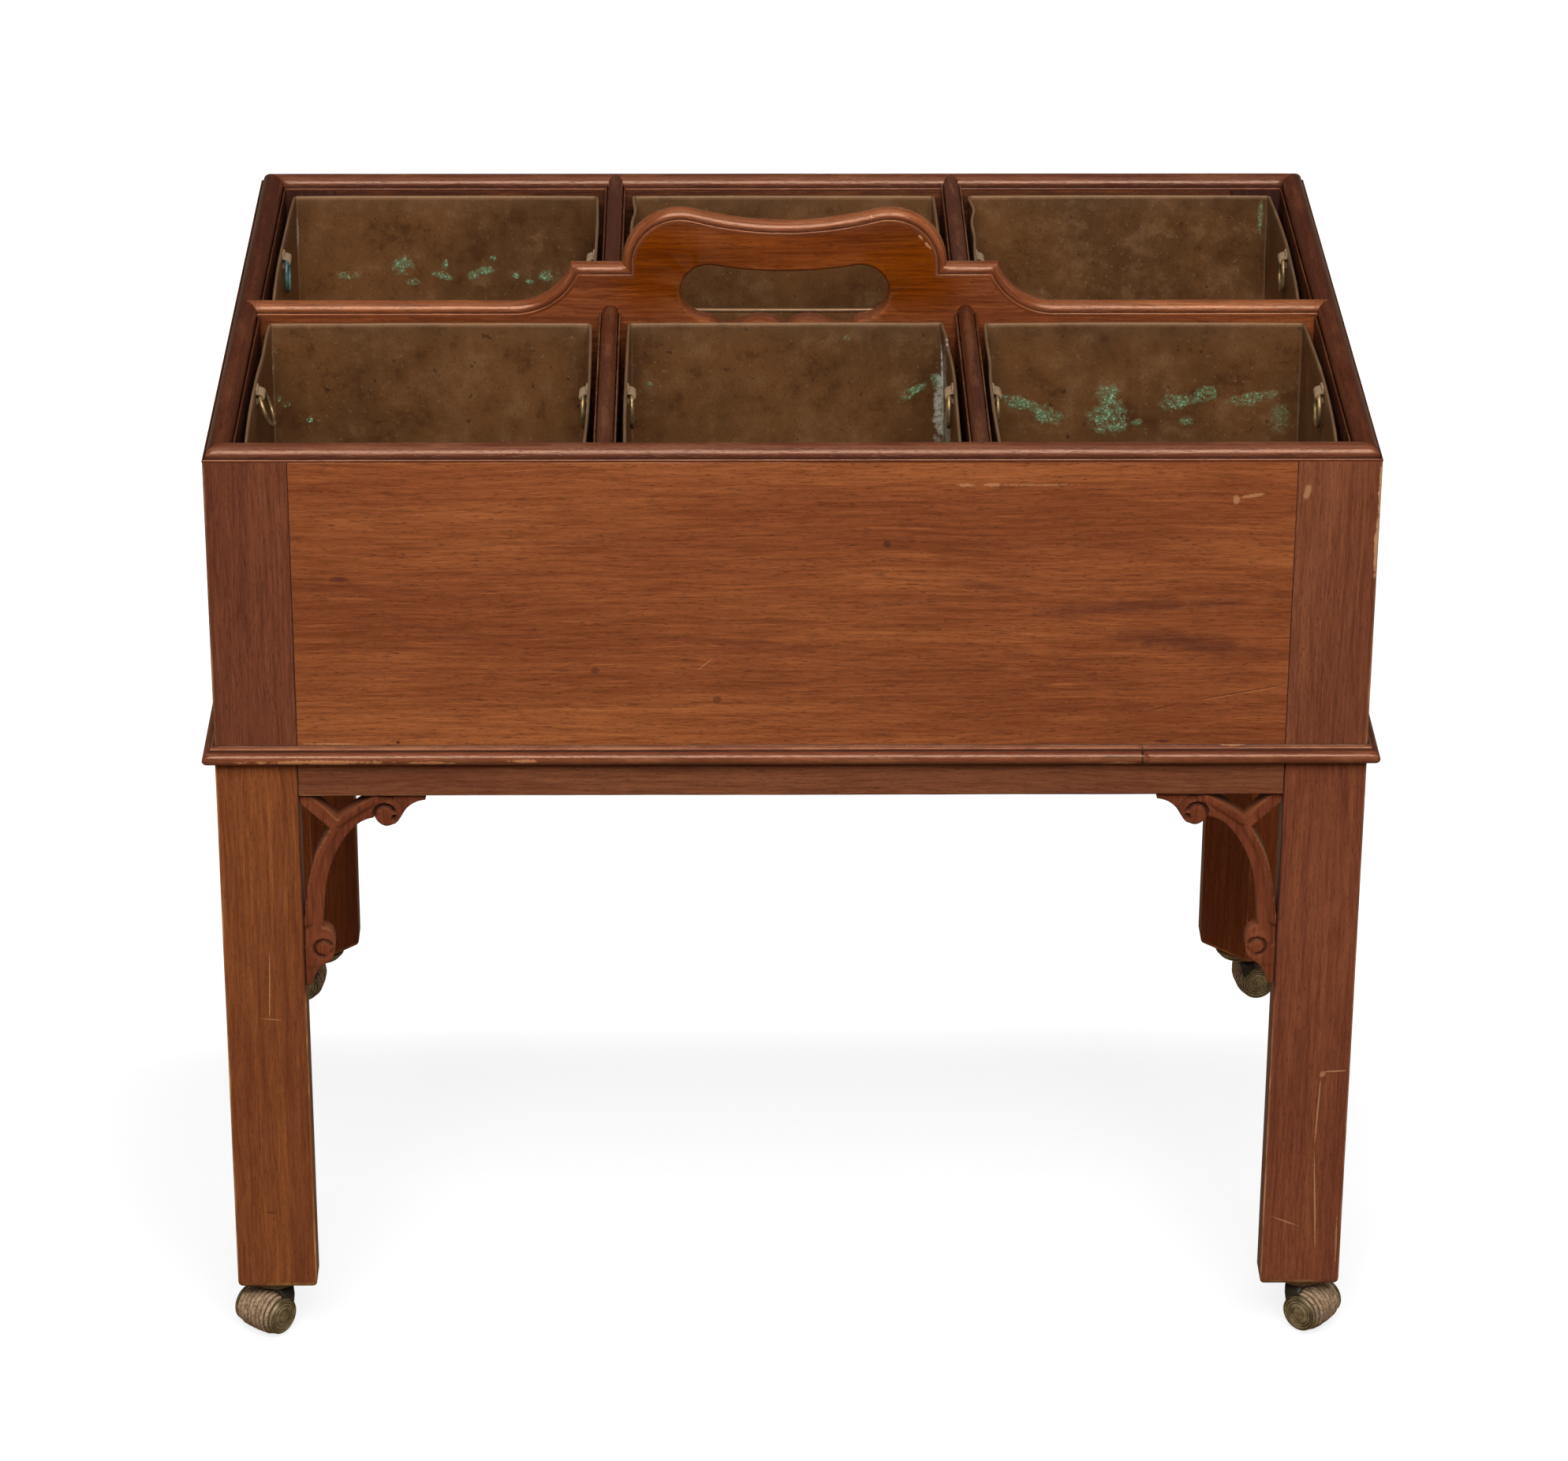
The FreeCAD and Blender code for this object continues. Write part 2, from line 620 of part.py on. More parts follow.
def make_lips():
    """Four mitred lengths of moulding on the stand, standing up round the carrier's foot."""
    for label, length, face, degrees in (("front_lip", "body_width", "body_depth", 0),
                                         ("back_lip", "body_width", "body_depth", 180),
                                         ("left_lip", "body_depth", "body_width", -90),
                                         ("right_lip", "body_depth", "body_width", 90)):
        offset = val[face] / 2

        def section_at(half):
            section = lip_section(offset)
            section.translate(Vector(-half, 0, 0))
            return section.extrude(Vector(2 * half, 0, 0))

        node(label, feature(label + "_form", turned(mitred_side(section_at, val[length], offset), degrees)))


# The bracket as it is drawn, out along the rail and down the leg from their corner. Each stretch
# starts where the one before it ends.
BRACKET_OUTLINE = (
    ("line", (4.8, 0)),
    ("line", (20.4, 15.9)),
    ("arc", (31, 8), (44, 0)),
    ("line", (71, 0)),
    ("line", (70, 4)),
    ("arc", (62.5, 6.6), (57.5, 12.2)),
    ("curve", (53.5, 17.9), (48.4, 20), (44.2, 18), (41.5, 14.4)),
    ("curve", (31, 20), (20.5, 34.5), (13.2, 56), (10.3, 84.4)),
    ("curve", (15.2, 87.6), (17, 94.4), (15.6, 102.4), (11.2, 106.6)),
    ("arc", (7, 111.2), (4.3, 118.5)),
    ("arc", (3, 120.2), (0, 120.5)),
    ("line", (0, 79)),
    ("curve", (2.8, 58.5), (7.4, 39.4), (16.3, 21.6)),
    ("line", (0, 6)),
    ("line", (0, 0)),
)


def bracket_form():
    """One fret bracket: a C-scroll with a brace, in the corner between a leg and a rail.

    It lies in the XZ plane with the corner at the origin, the rail along +X and the leg down -Z.
    """
    drawn = [point for _, *points in BRACKET_OUTLINE for point in points]
    across = val["bracket_reach"] / max(out for out, _ in drawn)
    down = val["bracket_drop"] / max(drop for _, drop in drawn)
    start = Vector()
    edges = []
    for kind, *points in BRACKET_OUTLINE:
        run = [start] + [Vector(out * across, 0, -drop * down) for out, drop in points]
        edges.append(curve(run) if kind == "curve" else arc(*run) if kind == "arc" else line(*run))
        start = run[-1]
    return prism(edges, Vector(0, val["bracket_thick"], 0))


def make_brackets():
    """A pair of brackets to each leg, one under the long rail and one under the side rail."""
    form = bracket_form()
    setback = val["bracket_setback"]
    half_width = val["body_width"] / 2
    half_depth = val["body_depth"] / 2
    long_one = form.copy()
    long_one.translate(Vector(-half_width + val["leg_size"], -half_depth + setback, val["rail_foot"]))
    side_one = turned(form, 90)
    side_one.translate(Vector(-half_width + setback + val["bracket_thick"],
                              -half_depth + val["leg_size"], val["rail_foot"]))
    for corner, x_side, y_side in CORNERS:
        pair = []
        for name, shape in (("long", long_one), ("side", side_one)):
            piece = shape
            if x_side > 0:
                piece = piece.mirror(Vector(), Vector(1, 0, 0))
            if y_side > 0:
                piece = piece.mirror(Vector(), Vector(0, 1, 0))
            pair.append(feature(f"{corner}_{name}_bracket", piece))
        node(f"{corner}_brackets", group(f"{corner}_bracket_pair", *pair))


# --- castors ---

# How each castor stands, as the way its trail points, in degrees from +X.
CASTOR_TURNS = {"front_left": 231, "front_right": 320, "back_left": 174, "back_right": 8}


def make_castor_plates():
    """Round brass plates under the legs, each held by three screws."""
    plates = []
    screws = []
    for corner, x_side, y_side in CORNERS:
        pivot = pivot_place(x_side, y_side)
        disc = cylinder(f"{corner}_disc", "plate_radius", "plate_thick", *pivot, "plate_foot")
        holes = [cylinder(f"{corner}_disc_bore", "pintle_radius + turn_play", "plate_thick", *pivot,
                          "plate_foot")]
        for number, place in enumerate(screw_places(x_side, y_side)):
            tag = f"{corner}_{number}"
            holes.append(cylinder(f"disc_hole_{tag}", "screw_shank_radius", "plate_thick", *place,
                                  "plate_foot"))
            holes.append(cylinder(f"disc_sink_{tag}", "screw_head_radius", "screw_head_height", *place,
                                  "plate_foot"))
            head = cylinder(f"screw_head_{tag}", "screw_head_radius", "screw_head_height", *place,
                            "plate_foot")
            shank = cylinder(f"screw_shank_{tag}", "screw_shank_radius",
                             "plate_thick + screw_length - screw_head_height", *place,
                             "plate_foot + screw_head_height")
            screws.append(fuse(f"castor_screw_{tag}", head, shank))
        plates.append(cut(f"{corner}_plate", disc, *holes))
    node("castor_plates", group("castor_plate_set", *plates))
    node("castor_screws", group("castor_screw_set", *screws))


def placed(label, form, corner, x_side, y_side):
    """Stand a castor piece, made about the origin, at its pivot and turned to its trail."""
    form.Placement = Placement(Vector(), Rotation(Vector(0, 0, 1), CASTOR_TURNS[corner]))
    pivot_x, pivot_y = pivot_place(x_side, y_side)
    form.setExpression("Placement.Base.x", bound(pivot_x))
    form.setExpression("Placement.Base.y", bound(pivot_y))
    return node(label, form)


def make_horns():
    """Brass horns: pintle, round crown, yoke, two cheeks and the riveted axle between them."""
    along_axle = Vector(0, 1, 0)
    for corner, x_side, y_side in CORNERS:
        tag = f"{corner}_horn"
        pieces = [
            cylinder(tag + "_pintle", "pintle_radius", "pintle_length", "0", "0", "crown_top"),
            cylinder(tag + "_crown", "crown_radius", "crown_thick", "0", "0", "crown_top - crown_thick"),
            box(tag + "_yoke", "castor_trail - arm_lead + arm_width", "horn_width", "crown_thick",
                "0", "-horn_width / 2", "crown_top - crown_thick"),
            cylinder(tag + "_axle", "axle_radius", "horn_width", "castor_trail", "horn_width / 2",
                     "wheel_radius", -along_axle),
        ]
        for side, start in (("near", "-horn_width / 2"), ("far", "horn_width / 2 - cheek_thick")):
            pieces.append(cylinder(f"{tag}_{side}_cheek", "cheek_radius", "cheek_thick", "castor_trail",
                                   f"{start} + cheek_thick", "wheel_radius", -along_axle))
            pieces.append(box(f"{tag}_{side}_arm", "arm_width", "cheek_thick", "crown_top - wheel_radius",
                              "castor_trail - arm_lead", start, "wheel_radius"))
        pieces.append(cylinder(tag + "_near_rivet", "rivet_radius", "rivet_height", "castor_trail",
                               "-horn_width / 2", "wheel_radius", -along_axle))
        pieces.append(cylinder(tag + "_far_rivet", "rivet_radius", "rivet_height", "castor_trail",
                               "horn_width / 2 + rivet_height", "wheel_radius", -along_axle))
        placed(f"{corner}_castor_horn", fuse(tag + "_form", *pieces), corner, x_side, y_side)


def make_wheels():
    """Leather wheels, bored to run on their axles."""
    for corner, x_side, y_side in CORNERS:
        tag = f"{corner}_wheel"
        drum = cylinder(tag + "_drum", "wheel_radius", "wheel_width", "castor_trail",
                        "wheel_width / 2", "wheel_radius", Vector(0, -1, 0))
        barrel = softened("Part::Fillet", tag + "_barrel", drum, "wheel_round",
                          lambda edge: edge.Curve.TypeId == "Part::GeomCircle")
        bore = cylinder(tag + "_bore", "axle_radius + turn_play", "2 * wheel_width", "castor_trail",
                        "wheel_width", "wheel_radius", Vector(0, -1, 0))
        placed(f"{corner}_castor_wheel", cut(tag + "_form", barrel, bore), corner, x_side, y_side)


# --- liners and rings ---

COLUMNS = (("left", -1), ("middle", 0), ("right", 1))
ROWS = (("front", -1), ("back", 1))


def liner_width(column):
    """Expression for the width of a liner in one column."""
    cell = "middle_cell_width" if column == 0 else "side_cell_width"
    return f"({cell} - 2 * liner_play)"


def cell_centre(column, row):
    """Expressions for the middle of a compartment."""
    x = f"{column} * (inner_width - side_cell_width) / 2"
    y = f"{row} * (divider_thick + cell_depth) / 2"
    return x, y


def make_liners():
    """Sheet-metal liners with a rolled edge and a folded lug soldered at each end."""
    for row_name, row in ROWS:
        for column_name, column in COLUMNS:
            tag = f"{row_name}_{column_name}_liner"
            x, y = cell_centre(column, row)
            width = liner_width(column)
            tray = centred_box(tag + "_tray", width, "liner_depth", "liner_height", x, y, "board_top")
            roll = centred_box(tag + "_roll", f"{width} + 2 * rim_roll", "liner_depth + 2 * rim_roll",
                               "roll_height", x, y, "liner_top - roll_height")
            hollow = centred_box(tag + "_hollow", f"{width} - 2 * sheet_thick",
                                 "liner_depth - 2 * sheet_thick", "liner_height", x, y,
                                 "board_top + sheet_thick")
            shell = cut(tag + "_shell", fuse(tag + "_blank", tray, roll), hollow)
            lugs = []
            for end, side in (("left", -1), ("right", 1)):
                face = f"{x} + {side} * ({width} / 2 - sheet_thick)"
                axis_x = f"{face} - {side} * lug_radius"
                start = f"{y} + lug_length / 2"
                level = "liner_top - lug_below"
                tube = cylinder(f"{tag}_{end}_tube", "lug_radius", "lug_length", axis_x, start, level,
                                Vector(0, -1, 0))
                low_x = axis_x if side > 0 else face
                web = box(f"{tag}_{end}_web", "lug_radius", "lug_length", "lug_radius", low_x,
                          f"{y} - lug_length / 2", level)
                bore = cylinder(f"{tag}_{end}_bore", "wire_radius + ring_play", "2 * lug_length", axis_x,
                                f"{y} + lug_length", level, Vector(0, -1, 0))
                lugs.append(cut(f"{tag}_{end}_lug", fuse(f"{tag}_{end}_fold", tube, web), bore))
            node(tag, group(tag + "_set", shell, *lugs))


def loop_start(loop, centre):
    """Turn that brings the middle of an open loop straight below its centre."""
    middle = loop.CenterOfMass - centre
    return -math.degrees(math.atan2(middle.z, middle.y)) - 90


def ring_form():
    """A wire ring about the lug's axis: a straight top that lies in the lug, and a round loop."""
    wire = val["wire_radius"]
    radius = val["ring_radius"]
    half_top = val["lug_length"] / 2 + val["ring_side_play"] + wire
    drop = math.sqrt(radius ** 2 - half_top ** 2)
    centre = Vector(0, 0, -drop)
    opening = math.degrees(math.atan2(half_top, drop))
    loop = Part.makeTorus(radius, wire, centre, Vector(1, 0, 0), 0, 360, 360 - 2 * opening)
    loop.rotate(centre, Vector(1, 0, 0), loop_start(loop, centre))
    top = Part.makeCylinder(wire, 2 * half_top, Vector(0, -half_top, 0), Vector(0, 1, 0))
    knuckles = [Part.makeSphere(wire, Vector(0, side * half_top, 0)) for side in (-1, 1)]
    return top.fuse([loop] + knuckles).removeSplitter()


def make_rings():
    form = ring_form()
    for row_name, row in ROWS:
        for column_name, column in COLUMNS:
            x, y = cell_centre(column, row)
            width = liner_width(column)
            for end, side in (("left", -1), ("right", 1)):
                label = f"{row_name}_{column_name}_{end}_ring"
                ring = feature(label + "_form", form.copy())
                swing = side * val["ring_swing"] if label == "front_left_left_ring" else 0
                ring.Placement = Placement(Vector(), Rotation(Vector(0, 1, 0), swing))
                seat(ring, f"{x} + {side} * ({width} / 2 - sheet_thick - lug_radius)", y,
                     "liner_top - lug_below")
                node(label, ring)


def check_and_export():
    """Recompute, test every object and shape, then write one STEP file for each node."""
    doc.recompute()
    for obj in doc.Objects:
        if "Invalid" in obj.State or "Error" in obj.State:
            raise RuntimeError(f"{obj.Label} failed: {obj.State}")
    os.makedirs("parts", exist_ok=True)
    for label, obj in nodes.items():
        shape = obj.Shape
        if shape.isNull() or not shape.isValid() or not shape.Solids:
            raise RuntimeError(f"{label} has no valid solid")
        if min(solid.Volume for solid in shape.Solids) <= 0:
            raise RuntimeError(f"{label} is inside out")
    for label, obj in nodes.items():
        obj.Shape.exportStep(f"parts/{label}.step")
    print(f"{len(nodes)} nodes written")


make_legs()
make_rails()
make_lips()
make_brackets()
make_castor_plates()
make_horns()
make_wheels()
make_walls()
make_rims()
make_partitions()
make_divider()
make_liners()
make_rings()
check_and_export()
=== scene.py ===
import math

import bmesh
import bpy
from mathutils import Matrix, Vector, noise
from mathutils.geometry import delaunay_2d_cdt


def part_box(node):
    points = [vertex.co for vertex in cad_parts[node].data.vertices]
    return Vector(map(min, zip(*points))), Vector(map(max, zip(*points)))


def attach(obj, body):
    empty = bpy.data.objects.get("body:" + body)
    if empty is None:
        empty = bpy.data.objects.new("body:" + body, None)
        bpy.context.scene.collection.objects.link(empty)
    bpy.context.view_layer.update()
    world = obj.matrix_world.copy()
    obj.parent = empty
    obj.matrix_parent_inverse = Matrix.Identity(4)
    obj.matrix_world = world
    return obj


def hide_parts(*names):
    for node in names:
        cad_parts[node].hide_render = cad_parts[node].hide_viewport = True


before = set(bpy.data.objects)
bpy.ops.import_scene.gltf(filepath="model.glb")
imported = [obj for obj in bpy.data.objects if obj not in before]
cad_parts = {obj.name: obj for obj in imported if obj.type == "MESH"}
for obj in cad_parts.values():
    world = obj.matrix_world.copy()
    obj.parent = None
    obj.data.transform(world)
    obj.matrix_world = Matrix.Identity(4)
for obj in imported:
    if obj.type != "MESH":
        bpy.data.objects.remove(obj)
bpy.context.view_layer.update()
noise.seed_set(1)  # otherwise noise_vector starts from the clock

mm = 0.001  # sizes and points below are millimetres; meshes are written in metres
corners = (("front_left", -1, -1), ("front_right", 1, -1), ("back_left", -1, 1), ("back_right", 1, 1))
rows = ("front", "back")
columns = ("left", "middle", "right")


def cadBox(node):
    low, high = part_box(node)
    return low / mm, high / mm


def screenColour(red, green, blue):  # 0 to 255 as seen on a screen, to the linear colour that a shader takes
    def linear(level):
        level /= 255
        return level / 12.92 if level <= 0.04045 else ((level + 0.055) / 1.055) ** 2.4
    return (linear(red), linear(green), linear(blue), 1.0)


def seedOf(name):
    return sum((i + 1) * ord(letter) for i, letter in enumerate(name)) % 997


def wander(seed, x, y=0.0, z=0.0):  # smooth noise, about -1 to 1
    return noise.noise(Vector((x + seed * 7.31, y + seed * 3.17, z + seed * 1.93)))


def ease(value, low, high):  # 0 below low, 1 above high, smooth between
    share = min(max((value - low) / (high - low), 0), 1)
    return share * share * (3 - 2 * share)


mergeReach = 2e-6  # metres


class Form:
    # points in mm, each with its wear (0 fresh, 1 rubbed bare; on beads and rolled edges partly a painted
    # highlight), its soil (0 clean, 1 packed with old wax and dirt; in quirks, under mouldings and inside the
    # box partly painted shade) and its own place along the grain, or None
    def __init__(self):
        self.points, self.faces, self.wear, self.soil, self.grain = [], [], [], [], []

    def add(self, point, wear=0.0, soil=0.0, grain=None):
        self.points.append(Vector(point))
        self.wear.append(wear)
        self.soil.append(soil)
        self.grain.append(grain)
        return len(self.points) - 1

    def skin(self, rings, closed=True):
        for low, high in zip(rings, rings[1:]):
            for i in range(len(low) if closed else len(low) - 1):
                j = (i + 1) % len(low)
                self.faces.append((low[i], low[j], high[j], high[i]))

    def cap(self, ring):
        self.faces.append(tuple(ring))

    def loft(self, rings):  # a skin with both ends capped
        self.skin(rings)
        self.cap(rings[0])
        self.cap(rings[-1])

    def mesh(self, name, **more):  # more: attributes beside wear and highlight, and soil and shade, as (kind, values)
        made = bpy.data.meshes.new(name)
        made.from_pydata([point * mm for point in self.points], [], self.faces)
        for key, (kind, values) in {"wear": ("FLOAT", self.wear), "soil": ("FLOAT", self.soil), **more}.items():
            data = made.attributes.new(key, kind, "POINT").data
            data.foreach_set("vector" if kind == "FLOAT_VECTOR" else "value", values)
        joined = bmesh.new()
        joined.from_mesh(made)
        bmesh.ops.remove_doubles(joined, verts=joined.verts, dist=mergeReach)
        bmesh.ops.dissolve_degenerate(joined, edges=joined.edges, dist=mergeReach / 2)
        bmesh.ops.recalc_face_normals(joined, faces=joined.faces)
        joined.to_mesh(made)
        joined.free()
        return made


grainOrder = {"x": (0, 1, 2), "y": (1, 0, 2), "z": (2, 0, 1)}


def makePiece(name, form, material, body, nodes, grain="x", sharp=34, plain=None):
    # plain is the material of the faces whose points have no grain place of their own
    seed = seedOf(name)
    offset = Vector((seed % 31, seed % 17, seed % 23)) * 0.37
    along = []
    for point, own in zip(form.points, form.grain):
        place = Vector([point[axis] for axis in grainOrder[grain]]) if own is None else Vector(own)
        along += list(place * mm + offset)
    mesh = form.mesh(name, grain=("FLOAT_VECTOR", along), plain=("FLOAT", [own is None for own in form.grain]))
    dress(bpy.data.objects.new(name, mesh), material, body, nodes, sharp)
    if plain:
        mesh.materials.append(plain)
        isPlain = [point.value > 0.5 for point in mesh.attributes["plain"].data]
        for polygon in mesh.polygons:
            polygon.material_index = int(all(isPlain[i] for i in polygon.vertices))


def dress(piece, material, body, nodes, sharp=34):
    bpy.context.scene.collection.objects.link(piece)
    if material is not None:
        piece.data.materials.clear()
        piece.data.materials.append(material)
    piece.data.shade_smooth()
    piece.data.set_sharp_from_angle(angle=math.radians(sharp))
    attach(piece, body)
    if nodes:
        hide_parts(*nodes)


def insetOutline(outline, distance):  # the outline runs anticlockwise
    shifted = []
    for i, here in enumerate(outline):
        first = (here - outline[i - 1]).normalized()
        second = (outline[(i + 1) % len(outline)] - here).normalized()
        normals = Vector((-first.y, first.x)), Vector((-second.y, second.x))
        shifted.append(here + (normals[0] + normals[1]) * (distance / (1 + normals[0].dot(normals[1]))))
    return shifted


timber = {"pitch": 12, "bump": 0.12, "span": 22, "roundSteps": 3, "support": 0.4, "endSteps": 4, "endRun": 0.4}


def sectionRing(outline, radii, spans):
    # each corner rounded, each side cut into its spans; gives (point, wear)
    runs = []
    steps = timber["roundSteps"]
    for i, here in enumerate(outline):
        back = (outline[i - 1] - here).normalized()
        on = (outline[(i + 1) % len(outline)] - here).normalized()
        opening = back.angle(on)
        centre = here + (back + on).normalized() * (radii[i] / math.sin(opening / 2))
        start = here + back * (radii[i] / math.tan(opening / 2)) - centre
        turn = start.angle_signed(here + on * (radii[i] / math.tan(opening / 2)) - centre)
        runs.append([(centre + Matrix.Rotation(-turn * (k / steps), 2) @ start, 1 if 0 < k < steps else 0.25)
                     for k in range(steps + 1)])
    ring = []
    for i, run in enumerate(runs):
        ring += run
        a, b = run[-1][0], runs[(i + 1) % len(runs)][0][0]
        near = min(timber["support"] / (b - a).length, 0.3)
        shares = [near] + [near + (1 - 2 * near) * k / spans[i] for k in range(1, spans[i])] + [1 - near]
        ring += [(a.lerp(b, share), 0) for share in shares]
    return ring


def endStations(start, end, low, high):
    # (place along the bar, inset) with both ends rounded
    def rounding(radius):
        angles = [math.radians(90 * k / timber["endSteps"]) for k in range(timber["endSteps"] + 1)]
        return [(radius * (1 - math.cos(a)), radius * (1 - math.sin(a))) for a in angles] + [
            (radius + timber["endRun"], 0)]
    first = [(start + t, inset) for t, inset in rounding(low)]
    last = [(end - t, inset) for t, inset in reversed(rounding(high))]
    count = max(int((last[0][0] - first[-1][0]) / timber["pitch"]), 1)
    middle = [(first[-1][0] + (last[0][0] - first[-1][0]) * k / count, 0) for k in range(1, count)]
    return first + middle + last


def bar(name, outline, start, end, axis, material, body, slotName, nodes, radius, ends, cornerRadii=None,
        joints=(), within=None, above=0):
    # a straight timber: an outline across, run along an axis, with eased and slightly uneven arrises
    outline = [Vector(p) for p in outline]
    cornerRadii = cornerRadii or {}
    if sum(a.x * b.y - b.x * a.y for a, b in zip(outline, outline[1:] + outline[:1])) < 0:
        outline.reverse()
        joints = [len(outline) - 1 - i for i in joints]
        cornerRadii = {len(outline) - 1 - i: r for i, r in cornerRadii.items()}
    seed = seedOf(name)
    spans = [max(int((b - a).length / timber["span"]), 1) for a, b in zip(outline, outline[1:] + outline[:1])]
    form = Form()
    rings = []
    for along, inset in endStations(start, end, *ends):
        radii = [cornerRadii.get(i, radius) * (1 + 0.35 * wander(seed + i, along / 14))
                 for i in range(len(outline))]
        ring = []
        for flat, wear in sectionRing(insetOutline(outline, inset + timber["bump"]), radii, spans):
            point = Vector({"x": (along, *flat), "y": (flat[0], along, flat[1]), "z": (*flat, along)}[axis])
            point += noise.noise_vector(point / 70 + Vector((seed, 0, 0))) * timber["bump"]
            wear = max(wear, 0.8 * ease(inset, 0.05, 0.3))
            soil = 0.0
            if within and abs(point.x) < within[0] and abs(point.y) < within[1]:
                wear, soil = 0.0, 0.75  # inner faces painted dark through the soil channel: painted shade inside the box
            elif along > above and any((flat - outline[i]).length < 3 for i in joints):
                wear, soil = 0.0, 0.75 * wear  # dirt packs into joints
            ring.append(form.add(point, wear, soil))
        rings.append(ring)
    form.loft(rings)
    makePiece(name, form, material, body, nodes, axis)


def lathe(form, profile, centre, axis, turns=40, wear=0.0):
    # (along, radius, dirt and painted shade) revolved about an axis; a profile that starts and ends at radius 0
    # closes itself
    axis = Vector(axis).normalized()
    side = axis.orthogonal().normalized()
    other = axis.cross(side)
    rings = []
    for along, radius, *dirt in profile:
        foot = Vector(centre) + axis * along
        if radius < 1e-6:
            rings.append([form.add(foot, wear)] * turns)
            continue
        ring = []
        for i in range(turns):
            angle = 2 * math.pi * i / turns
            point = foot + side * (radius * math.cos(angle)) + other * (radius * math.sin(angle))
            ring.append(form.add(point, wear, dirt[0] if dirt else 0.0))
        rings.append(ring)
    for low, high in zip(rings, rings[1:]):
        for i in range(turns):
            j = (i + 1) % turns
            face = []
            for index in (low[i], low[j], high[j], high[i]):
                if index not in face:
                    face.append(index)
            if len(face) > 2:
                form.faces.append(tuple(face))


def arcRun(a, b, c, steps):  # points on the circle through a, b and c, without a itself
    a, b, c = Vector(a), Vector(b), Vector(c)
    d = 2 * (a.x * (b.y - c.y) + b.x * (c.y - a.y) + c.x * (a.y - b.y))
    centre = Vector(((a.length_squared * (b.y - c.y) + b.length_squared * (c.y - a.y)
                      + c.length_squared * (a.y - b.y)) / d,
                     (a.length_squared * (c.x - b.x) + b.length_squared * (a.x - c.x)
                      + c.length_squared * (b.x - a.x)) / d))
    first, middle, last = a - centre, b - centre, c - centre
    turn = first.angle_signed(middle) + middle.angle_signed(last)
    return [centre + Matrix.Rotation(-turn * k / steps, 2) @ first for k in range(1, steps + 1)]


def curveRun(points, steps):  # a smooth run through the points, without the first
    points = [Vector(p) for p in points]
    ends = [2 * points[0] - points[1]] + points + [2 * points[-1] - points[-2]]
    run = []
    for before, a, b, after in zip(ends, ends[1:], ends[2:], ends[3:]):
        for k in range(1, steps + 1):
            s = k / steps
            run.append(0.5 * (2 * a + (b - before) * s + (2 * before - 5 * a + 4 * b - after) * s * s
                              + (3 * a - before - 3 * b + after) * s ** 3))
    return run


def offsetRun(loop, distance):  # a closed run of points moved sideways
    moved = []
    for i, here in enumerate(loop):
        along = (loop[(i + 1) % len(loop)] - loop[i - 1]).normalized()
        moved.append(here + Vector((-along.y, along.x)) * distance)
    return moved


def insideLoop(point, loop):
    inside = False
    for a, b in zip(loop, loop[1:] + loop[:1]):
        if (a.y > point.y) != (b.y > point.y) and point.x < a.x + (b.x - a.x) * (point.y - a.y) / (b.y - a.y):
            inside = not inside
    return inside


def fillFlat(loops, inner=()):
    # triangles inside the first loop and outside the others; inner points are taken up as well
    points = []
    edges = []
    for loop in loops:
        base = len(points)
        points += loop
        edges += [(base + i, base + (i + 1) % len(loop)) for i in range(len(loop))]
    points += list(inner)
    made, _, triangles, _, _, _ = delaunay_2d_cdt(points, edges, [], 2, 1e-5)
    kept = []
    for triangle in triangles:
        middle = (made[triangle[0]] + made[triangle[1]] + made[triangle[2]]) / 3
        if not any(insideLoop(middle, loop) for loop in loops[1:]):
            kept.append(triangle)
    return made, kept


